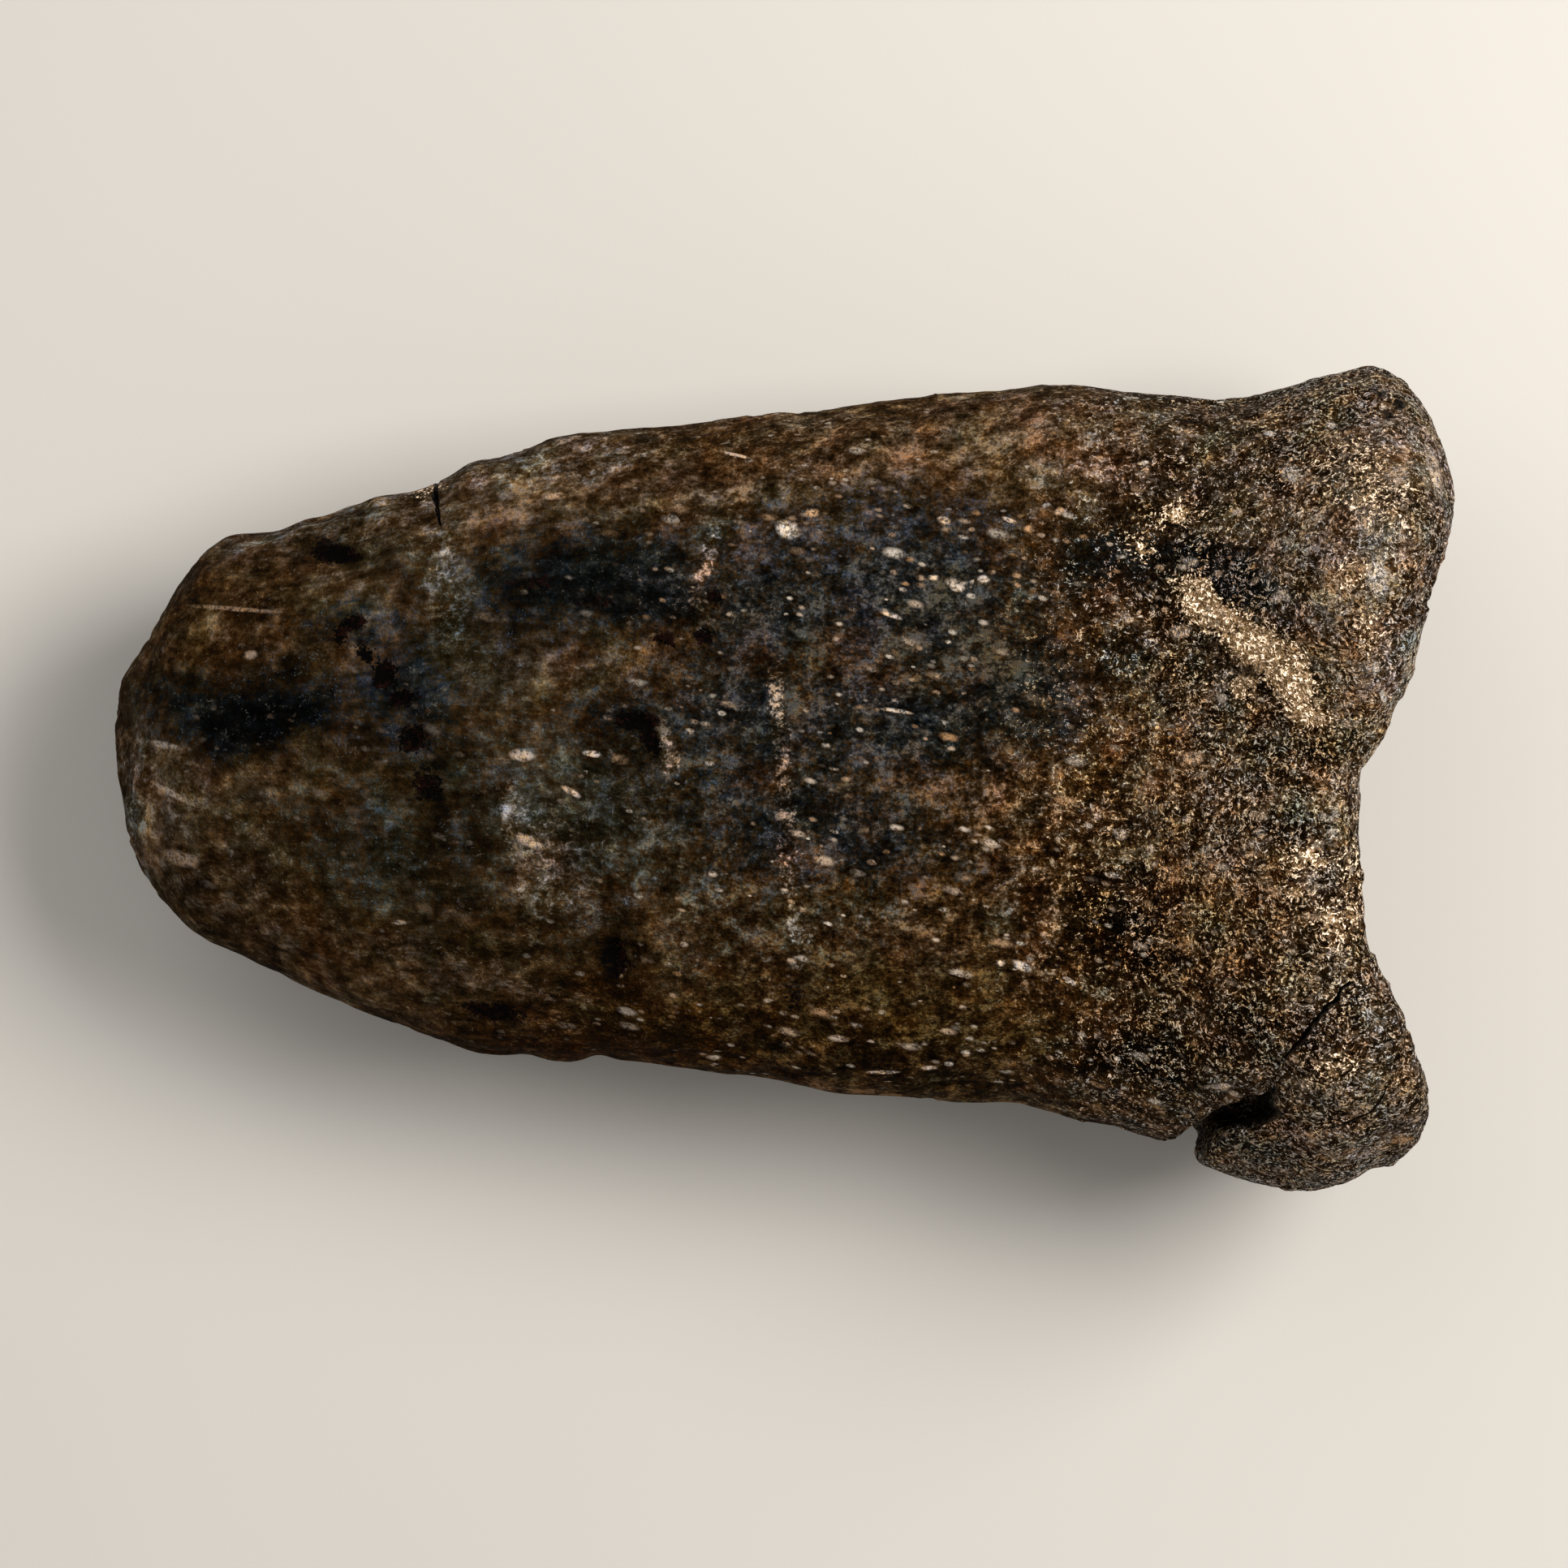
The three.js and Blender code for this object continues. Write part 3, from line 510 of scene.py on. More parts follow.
def small_pits(places):
    """Depth share of round holes scattered through the stone, one at most in each cell."""
    depth = np.zeros(len(places))
    for i, place in enumerate(places / PIT_SPACING):
        distances, points = noise.voronoi(Vector(place))
        draw = noise.noise(points[0] * 7.31)
        if draw > PIT_CHANCE:
            reach = WIDEST_PIT * min(0.35 + 1.2 * draw, 1)
            depth[i] = math.exp(-((distances[0] * PIT_SPACING / reach) ** 2) * 2.2)
    return depth


def upper_share(places, normals):
    """1 on the upper face, 0 below the widest line."""
    return ramp(-0.12, 0.12, normals[:, 2]) * ramp(6, 10, places[:, 2])


def relief(places, normals, sizes):
    """How far each place of the skin moves out along its normal, in millimetres."""
    upper = upper_share(places, normals)
    rear = ramp(24, 38, places[:, 0])
    shaft = 1 - ramp(26, 36, places[:, 0])
    stump = ramp(6.5, 4, places[:, 2])
    height = sizes.lumps / MM * fractal(places, 5.5, 3, 1)
    height += sizes.striations / MM * shaft * fractal(places, (9, 0.95, 0.95), 2, 2)
    height += 0.6 * sizes.striations / MM * shaft * fractal(places, (16, 2.6, 2.6), 2, 3)
    grit = fractal(places, 1.15, 2, 4)
    height += sizes.grit / MM * grit * np.maximum(rear, 0.28 + 0.5 * stump)
    scaling = fractal(places, (7, 2.8, 2.8), 3, 5) + 0.1 * grit
    height -= sizes.scales / MM * ramp(0.16, 0.24, scaling)
    rear_scaling = -fractal(places, (5, 3.4, 3.4), 3, 6)
    height -= 0.7 * sizes.scales / MM * ramp(-0.34, -0.27, rear_scaling) * rear
    height -= sizes.pits / MM * small_pits(places) * (0.35 + 0.65 * rear)
    height -= upper * zone(places, DENTS, np.add)
    for path, drop, reach in LEDGES:
        distance, side = path_distance(places, path)
        height -= upper * drop * (side < 0) * np.exp(-((distance / reach) ** 2))
    height += CREAM_RISE * upper * ramp(0.35, 0.6, zone(places, CREAM_ZONES) + 0.5 * grit)
    ring = np.hypot(places[:, 0] - FLAKE_MIDDLE[0], places[:, 1] - FLAKE_MIDDLE[1])
    flake = upper * ramp(9, 6, ring) * ramp(1.5, 3, ring) * ramp(-12, -15, places[:, 1])
    swirl = np.stack([ring, 0.16 * places[:, 0], 0.16 * places[:, 1]], axis=1)
    height += RING_HEIGHT * flake * fractal(swirl, 0.55, 2, 7)
    return height


def weather(skin, sizes):
    """Moves the skin by its relief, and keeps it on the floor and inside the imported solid's box."""
    places, normals = coordinates(skin.data), vertex_normals(skin.data)
    places = places + relief(places, normals, sizes)[:, None] * normals
    low = np.array(CAD_LOW) / MM + [BOX_MARGIN, BOX_MARGIN, 0]
    set_coordinates(skin.data, np.clip(places, low, np.array(CAD_HIGH) / MM - BOX_MARGIN))


def break_cutter(crag):
    """The craggy wedge that leaves the break."""
    noise.seed_set(BREAK_SEED)
    cutter = bmesh.new()
    outline = evenly_spaced(BREAK_OUTLINE, BREAK_STEP, closed=True)
    rings = []
    for row in range(BREAK_ROWS + 1):
        ring = []
        for x, y in outline:
            floor = BREAK_FLOOR + BREAK_CLIMB * max(x - BREAK_MOUTH, 0)
            z = floor + (BREAK_TOP - floor) * row / BREAK_ROWS
            push = noise.noise_vector(Vector((x / 1.3, y / 1.3, z / 0.8)))
            push += 0.5 * noise.noise_vector(Vector((x / 0.5, y / 0.5, z / 0.4)))
            ring.append(cutter.verts.new(((x + crag * push.x) * MM, (y + crag * push.y) * MM, z * MM)))
        rings.append(ring)
    return closed_piece(cutter, rings, "break_cutter")


def crack_cutter(path, width, depth, surface):
    """A thin jagged blade along a crack: its edge is down in the stone, its back above the skin."""
    cutter = bmesh.new()
    points = evenly_spaced(path, CRACK_STEP)
    rows = []
    for i, (x, y) in enumerate(points):
        run = points[min(i + 1, len(points) - 1)] - points[max(i - 1, 0)]
        run = run / np.linalg.norm(run)
        jag = CRACK_JAG * noise.noise(Vector((x / 0.45, y / 0.45, 3.1)))
        swell = 0.35 + 0.65 * math.sin(math.pi * (i + 0.5) / len(points)) ** 0.6
        swell *= 1 + 0.5 * noise.noise(Vector((x / 0.7, y / 0.7, 8.7)))
        half = 0.5 * width * swell * (depth + CRACK_BACK) / depth
        x, y = x - run[1] * jag, y + run[0] * jag
        hit = surface.ray_cast(Vector((x, y, SKY_LEVEL)) * MM, Vector((0, 0, -1)))[0]
        level = hit.z / MM if hit else EDGE_LEVEL
        sides = [(x - run[1] * half, y + run[0] * half), (x + run[1] * half, y - run[0] * half)]
        row = [cutter.verts.new((sx * MM, sy * MM, (level + CRACK_BACK) * MM)) for sx, sy in sides]
        row.append(cutter.verts.new((x * MM, y * MM, (level - depth * (0.4 + 0.6 * swell)) * MM)))
        rows.append(row)
    return closed_piece(cutter, rows, "crack_cutter")


def closed_piece(shape, rings, name):
    """A new object of a bmesh whose rings of vertices are joined and capped."""
    for lower, upper in zip(rings[:-1], rings[1:]):
        for i in range(len(lower)):
            j = (i + 1) % len(lower)
            shape.faces.new((lower[i], lower[j], upper[j], upper[i]))
    shape.faces.new(rings[-1])
    shape.faces.new(reversed(rings[0]))
    bmesh.ops.triangulate(shape, faces=shape.faces[:])
    bmesh.ops.recalc_face_normals(shape, faces=shape.faces[:])
    mesh = bpy.data.meshes.new(name)
    shape.to_mesh(mesh)
    shape.free()
    return new_piece(name, mesh)


def cut(skin, cutters, broken):
    """Takes the cutters out of the skin. The walls that they leave get the broken stone."""
    for cutter in cutters:
        cutter.data.materials.append(broken)
        boolean = skin.modifiers.new("Cut", "BOOLEAN")
        boolean.operation = "DIFFERENCE"
        boolean.solver = "MANIFOLD"
        boolean.material_mode = "TRANSFER"
        boolean.object = cutter
        applied(skin)
        spent = cutter.data
        bpy.data.objects.remove(cutter)
        bpy.data.meshes.remove(spent)


# How far zones stray from their places: the broad ones, and those that belong to a form.
STRAY, SMALL_STRAY = 1.6, 0.35
MARK_MARGIN = 0.75  # width of skin round a mark that knows of it
# Colours that lie in zones on the upper face and run free over the rest of the bone: table, how far
# the zones stray, then size, seed, lowest and full noise, and strength of the free patches.
FREE_ZONES = {
    "stain": (STAIN_ZONES, STRAY, (14, 7, 7), 21, 0.0, 0.35, 0.85),
    "rust": (RUST_ZONES, STRAY, (16, 6, 6), 22, 0.05, 0.4, 0.7),
    "moss": (MOSS_ZONES, STRAY, (12, 7, 7), 23, 0.05, 0.4, 0.6),
    "olive": (OLIVE_ZONES, STRAY, (15, 8, 8), 24, -0.1, 0.25, 0.7),
    "cream": (CREAM_ZONES, SMALL_STRAY, (4, 2.6, 2.6), 25, 0.4, 0.6, 0.42),
    "deep": (DEEP_ZONES, SMALL_STRAY, 3.2, 26, 0.42, 0.7, 0.6),
}


def colour_zones(skin):
    """Writes where each colour of the stone lies, and its tone with its painted light and shade, as
    numbers at the vertices.
    """
    places = coordinates(skin.data)
    along, across = places[:, 0], places[:, 1]
    upper = upper_share(places, vertex_normals(skin.data))
    elsewhere = 1 - upper
    drift = np.stack([fractal(places, 4.5, 3, seed) for seed in (11, 12, 13)], axis=1)
    strayed = places + STRAY * drift
    values = {}
    for name, (table, reach, size, seed, lowest, full, strength) in FREE_ZONES.items():
        free = strength * ramp(lowest, full, fractal(places, size, 2, seed))
        values[name] = upper * zone(places + reach * drift, table) + elsewhere * free
    values["rime"] = upper * zone(strayed, RIME_AND_GLINT_ZONES)
    free = elsewhere * (0.2 + 0.6 * ramp(32, 40, along))
    values["crust"] = np.maximum(upper * zone(strayed, CRUST_ZONES), free)

    # Grit is coarse grain towards the rear end, in patches, and weaker along the far edge.
    patches = 0.85 + 0.4 * fractal(places, 2.6, 2, 52) + 0.5 * fractal(places, (7, 4, 4), 2, 53)
    far_edge = ramp(14, 20, across) * ramp(36, 30, along)
    values["grit"] = patches * ramp(13, 35, strayed[:, 0]) * (1 - 0.4 * far_edge)
    values["crisp"] = ramp(-24, 6, along) * (1 - 0.4 * upper * ramp(13, 18, across))
    swarms = ramp(-0.25, 0.5, fractal(places, (5, 3, 3), 2, 51)) + upper * zone(strayed, FLECK_ZONES)
    values["crowd"] = 0.25 + 0.1 * ramp(20, 32, along) + 0.9 * swarms
    # The tone of the upper face: the SHADES zones, partly painted light and shade, and a painted
    # falloff that darkens it by up to 0.55 stops towards the front end, partly shade and partly darker
    # stone.
    lighter = zone(strayed, SHADES, np.add) + 0.55 * ramp(-26, 6, along) - 0.6
    values["shade"] = upper * lighter - 0.3 * elsewhere + cloudiness(places)

    shiver = 0.35 * np.stack([fractal(places, 1.3, 2, seed) for seed in (14, 15, 16)], axis=1)
    patchy = 1 + 0.9 * fractal(places, 2.2, 2, 17)
    vein = np.zeros(len(places))
    for path, half_width, strength in VEINS:
        distance = path_distance(places + SMALL_STRAY * drift + shiver, path)[0]
        vein = np.maximum(vein, strength * patchy * bell(distance / half_width))
    values["vein"] = upper * vein
    values["hue"] = hue_drift(places, upper * zone(strayed, WARMTHS, np.add))
    for name, value in values.items():
        write_values(skin.data, name, value)


def hue_drift(places, warmth):
    """Slow wander of the stone's hue between warm and cool, and a little between green and red."""
    warm, green = fractal(places, 2.2, 3, 31), fractal(places, 2.8, 3, 32)
    front = ramp(-2, -25, places[:, 0])
    red = (1 + 0.20 * warm - 0.10 * green) * (1 - 0.11 * front) * 2 ** (0.35 * warmth)
    blue = (1 - 0.32 * warm - 0.02 * green) * (1 + 0.12 * front) * 2 ** (-0.65 * warmth)
    return np.stack([red, 1 + 0.05 * green, blue], axis=1)


def mark_places(skin):
    """Writes the nearest mark's centre, shape and tint at the vertices round each mark."""
    places = coordinates(skin.data)
    upper = upper_share(places, vertex_normals(skin.data)) > 0.1
    centre, shape = np.zeros((2, len(places), 3))
    near, tint = np.zeros((2, len(places)))
    best = np.full(len(places), FAR_AWAY)
    owner = np.zeros(len(places), int)
    for number, (x, y, half_length, half_width, turn, warmth) in enumerate(MARKS):
        run = np.array([math.cos(math.radians(turn)), math.sin(math.radians(turn))]) * half_length
        distance = path_distance(places, [(x - run[0], y - run[1]), (x + run[0], y + run[1])])[0]
        closer = distance < best
        best = np.where(closer, distance, best)
        owner[closer] = number
        centre[closer] = (x, y, 0)
        shape[closer] = (half_length, half_width, math.radians(turn))
        tint[closer] = warmth
        near[closer] = (upper & (distance < half_width + MARK_MARGIN))[closer]
    edges = edge_ends(skin.data)
    near[edges[owner[edges[:, 0]] != owner[edges[:, 1]]]] = 0
    for name, value in {"centre": centre, "shape": shape, "near": near, "tint": tint}.items():
        write_values(skin.data, "mark_" + name, value)


# ---------------------------------------------------------------- materials


class Graph:
    """Adds shader nodes to a tree. An input is given as another node's output or as a plain value."""

    def __init__(self, tree):
        self.tree = tree
        tree.nodes.clear()

    def plug(self, socket, value):
        """Links an output to a socket, or sets the socket's plain value."""
        if isinstance(value, bpy.types.NodeSocket):
            self.tree.links.new(value, socket)
        else:
            socket.default_value = value

    def node(self, kind, inputs=None, **settings):
        """A new shader node with its inputs and settings."""
        node = self.tree.nodes.new("ShaderNode" + kind)
        for name, value in settings.items():
            setattr(node, name, value)
        for name, value in (inputs or {}).items():
            self.plug(node.inputs[name], value)
        return node

    def math(self, operation, *values):
        """Arithmetic on numbers."""
        node = self.node("Math", operation=operation)
        for socket, value in zip(node.inputs, values):
            self.plug(socket, value)
        return node.outputs[0]

    def product(self, *values):
        """All the values multiplied together."""
        total = values[0]
        for value in values[1:]:
            total = self.math("MULTIPLY", total, value)
        return total

    def leaning(self, value, reach):
        """A value of 0 to 1 as its lean from the middle, times reach."""
        return self.math("MULTIPLY", self.math("SUBTRACT", value, 0.5), reach)

    def vector(self, operation, *values):
        """Arithmetic on vectors."""
        node = self.node("VectorMath", operation=operation)
        for socket, value in zip(node.inputs, values):
            self.plug(socket, value)
        return node.outputs[0]

    def scaled(self, vector, factor):
        """A vector times a number."""
        inputs = {"Vector": vector, "Scale": factor}
        return self.node("VectorMath", inputs, operation="SCALE").outputs[0]

    def turned(self, vector, angle):
        """A vector turned about the upright axis."""
        inputs = {"Vector": vector, "Angle": angle}
        return self.node("VectorRotate", inputs, rotation_type="Z_AXIS").outputs[0]

    def place(self):
        """The place on the object, in millimetres."""
        return self.scaled(self.node("TexCoord").outputs["Object"], 1 / MM)

    def ramp(self, value, low, high, start=0.0, end=1.0):
        """Smooth step of a value from start to end between low and high."""
        inputs = {"Value": value, "From Min": low, "From Max": high, "To Min": start, "To Max": end}
        return self.node("MapRange", inputs, interpolation_type="SMOOTHSTEP").outputs[0]

    def mix(self, share, first, second, blend="MIX"):
        """Two colours mixed. Each is an output or a plain red, green and blue."""
        node = self.node("Mix", data_type="RGBA", blend_type=blend)
        for index, value in ((0, share), (6, first), (7, second)):
            self.plug(node.inputs[index], (*value, 1.0) if isinstance(value, tuple) else value)
        return node.outputs[2]

    def noise(self, place, size, detail=2.0, roughness=0.5, output="Fac"):
        """Noise of 0 to 1 whose lumps are about one size across, in millimetres."""
        scale = 1 / size if isinstance(size, (int, float)) else self.math("DIVIDE", 1.0, size)
        inputs = {"Vector": place, "Scale": scale, "Detail": detail, "Roughness": roughness}
        return self.node("TexNoise", inputs).outputs[output]

    def wandering(self, place, size, reach):
        """A place moved about by up to half of reach, so that straight forms curl, and its stray."""
        stray = self.vector("SUBTRACT", self.noise(place, size, 1.0, 0.6, "Color"), (0.5, 0.5, 0.5))
        return self.vector("ADD", place, self.scaled(stray, reach)), stray

    def sum(self, *terms):
        """Sum of terms. A term is an output, or an output and its factor."""
        total = None
        for term in terms:
            value, factor = term if isinstance(term, tuple) else (term, 1.0)
            if total is None:
                total = self.math("MULTIPLY", value, factor)
            else:
                total = self.math("MULTIPLY_ADD", value, factor, total)
        return total

    def field(self, name, output="Fac"):
        """A number or a vector written at the vertices."""
        return self.node("Attribute", attribute_name=name).outputs[output]

    def channels(self, vector):
        """The X, Y and Z of a vector or a colour."""
        return self.node("SeparateXYZ", {"Vector": vector}).outputs

    def group(self, tree, **inputs):
        """The outputs of a node group with its inputs."""
        node = self.tree.nodes.new("ShaderNodeGroup")
        node.node_tree = tree
        for name, value in inputs.items():
            self.plug(node.inputs[name.replace("_", " ")], value)
        return node.outputs

    def surface(self, colour, roughness, specular, height=None, **coat):
        """Ends the material in one shader, with a bump of the height in millimetres."""
        inputs = {"Base Color": colour, "Roughness": roughness, "Specular IOR Level": specular}
        if height is not None:
            bump = self.node("Bump", {"Strength": 1.0, "Distance": MM, "Height": height})
            inputs["Normal"] = bump.outputs[0]
        inputs.update({name.replace("_", " "): value for name, value in coat.items()})
        self.node("OutputMaterial", {"Surface": self.node("BsdfPrincipled", inputs).outputs[0]})


def new_material(name):
    """An empty material and its graph."""
    material = bpy.data.materials.new(name)
    material.use_nodes = True
    return material, Graph(material.node_tree)


def new_group(name, inputs, outputs):
    """An empty node group with named sockets, its graph and its two end nodes."""
    tree = bpy.data.node_groups.new(name, "ShaderNodeTree")
    graph = Graph(tree)
    for socket, kind, default in inputs:
        made = tree.interface.new_socket(socket, in_out="INPUT", socket_type="NodeSocket" + kind)
        if default is not None:
            made.default_value = default
    for socket, kind in outputs:
        tree.interface.new_socket(socket, in_out="OUTPUT", socket_type="NodeSocket" + kind)
    start = tree.nodes.new("NodeGroupInput")
    end = tree.nodes.new("NodeGroupOutput")
    return tree, graph, start.outputs, end.inputs


def stone_grain_group():
    """Curled mineral grains: tone about 0, masks of the palest grains and of the pores, and height."""
    tree, graph, given, result = new_group(
        "Stone grain",
        [("Place", "Vector", None), ("Size", "Float", 0.3)],
        [("Tone", "Float"), ("Light", "Float"), ("Dark", "Float"), ("Height", "Float")],
    )
    draws = graph.channels(graph.noise(given["Place"], given["Size"], 1.5, 0.8, "Color"))
    crest = graph.math("ABSOLUTE", graph.math("SUBTRACT", draws["X"], 0.5))
    cleft = graph.math("ABSOLUTE", graph.math("SUBTRACT", draws["Z"], 0.5))
    light = graph.product(graph.ramp(crest, 0.11, 0.02), graph.ramp(draws["Y"], 0.42, 0.56))
    dark = graph.product(graph.ramp(cleft, 0.07, 0.0), graph.ramp(draws["Y"], 0.58, 0.46))
    graph.plug(result["Light"], light)
    graph.plug(result["Dark"], dark)
    tone = graph.sum((light, 0.6), (dark, -0.35), (draws["Y"], 0.8), (-0.43, 1.0))
    graph.plug(result["Tone"], graph.math("MAXIMUM", tone, graph.product(tone, 0.6)))
    graph.plug(result["Height"], graph.sum((light, 0.5), (dark, -0.4)))
    return tree


def long_flecks_group():
    """Flecks drawn out along the bone: a mask, and a random tint for each fleck."""
    tree, graph, given, result = new_group(
        "Long flecks",
        [
            ("Place", "Vector", None), ("Length", "Float", 2.0), ("Width", "Float", 0.8),
            ("Share", "Float", 0.15), ("Slope", "Float", -0.2),
        ],
        [("Mask", "Float"), ("Tint", "Float")],
    )
    sizes = graph.node("CombineXYZ", {"X": given["Length"], "Y": given["Width"], "Z": given["Width"]})
    stretched = graph.vector("DIVIDE", graph.turned(given["Place"], given["Slope"]), sizes.outputs[0])
    cells = graph.node("TexVoronoi", {"Vector": stretched, "Scale": 1.0})
    draws = graph.channels(cells.outputs["Color"])
    chosen = graph.ramp(graph.math("DIVIDE", draws["X"], given["Share"]), 1.0, 0.3)
    radius = graph.ramp(draws["Y"], 0.0, 1.0, 0.16, 0.42)
    inside = graph.ramp(graph.math("DIVIDE", cells.outputs["Distance"], radius), 1.15, 0.35)
    graph.plug(result["Mask"], graph.product(inside, chosen))
    graph.plug(result["Tint"], draws["Z"])
    return tree


def placed_mark_group():
    """One soft ellipse at a place of its own, seen from above."""
    tree, graph, given, result = new_group(
        "Placed mark",
        [
            ("Place", "Vector", None), ("Centre", "Vector", None), ("Half length", "Float", 1.0),
            ("Half width", "Float", 0.4), ("Turn", "Float", 0.0),
        ],
        [("Mask", "Float")],
    )
    offset = graph.vector("SUBTRACT", given["Place"], given["Centre"])
    sides = graph.channels(graph.turned(offset, graph.product(given["Turn"], -1.0)))
    along = graph.math("DIVIDE", sides["X"], given["Half length"])
    across = graph.math("DIVIDE", sides["Y"], given["Half width"])
    squares = graph.math("ADD", graph.product(along, along), graph.product(across, across))
    graph.plug(result["Mask"], graph.ramp(graph.math("SQRT", squares), 1.25, 0.5))
    return tree


def lacy_patch_group():
    """A soft zone whose border is frayed by a lace of 0 to 1."""
    tree, graph, given, result = new_group(
        "Lacy patch",
        [
            ("Zone", "Float", 0.0), ("Lace", "Float", 0.5), ("Fray", "Float", 1.0),
            ("Softness", "Float", 0.3),
        ],
        [("Mask", "Float")],
    )
    frayed = graph.math("ADD", graph.leaning(given["Lace"], given["Fray"]), given["Zone"])
    low = graph.math("SUBTRACT", 0.5, given["Softness"])
    high = graph.math("ADD", 0.5, given["Softness"])
    inside = graph.ramp(given["Zone"], 0.0, 0.15)
    graph.plug(result["Mask"], graph.product(graph.ramp(frayed, low, high), inside))
    return tree


# Tints of dark and of light stone, plain and inside the stains, then of warm and cool grains, and of
# dark and light cream.
DARK_CAST, LIGHT_CAST = (1.22, 1.0, 0.58), (0.92, 1.0, 1.14)
DARK_STAIN_CAST, LIGHT_STAIN_CAST = (0.92, 1.0, 0.98), (1.16, 1.0, 0.92)
WARM_GRAIN, COOL_GRAIN = (1.13, 1.0, 0.80), (0.91, 1.0, 1.20)
DARK_CREAM, LIGHT_CREAM = (1.12, 0.97, 0.74), (0.95, 1.02, 1.18)
GRAIN_SIZE = 0.32
BRIGHTEST_STOPS = 2.4
FLECK_SLOPE = 0.22
# Flecks: length, width, and the share of places that have one where they crowd.
FLECKS = ((2.1, 0.9, 0.32), (0.9, 0.5, 0.45))
# Colours that lie over the ground in turn: fray, softness and strength of each.
LAYERS = {
    "olive": (3.0, 0.45, 0.9), "moss": (2.2, 0.4, 0.95), "rust": (3.0, 0.45, 0.95),
    "crust": (3.0, 0.45, 0.95), "stain": (1.9, 0.4, 0.97), "vein": (2.2, 0.35, 0.9),
    "cream": (1.5, 0.14, 1.0), "deep": (1.6, 0.16, 1.0),
}


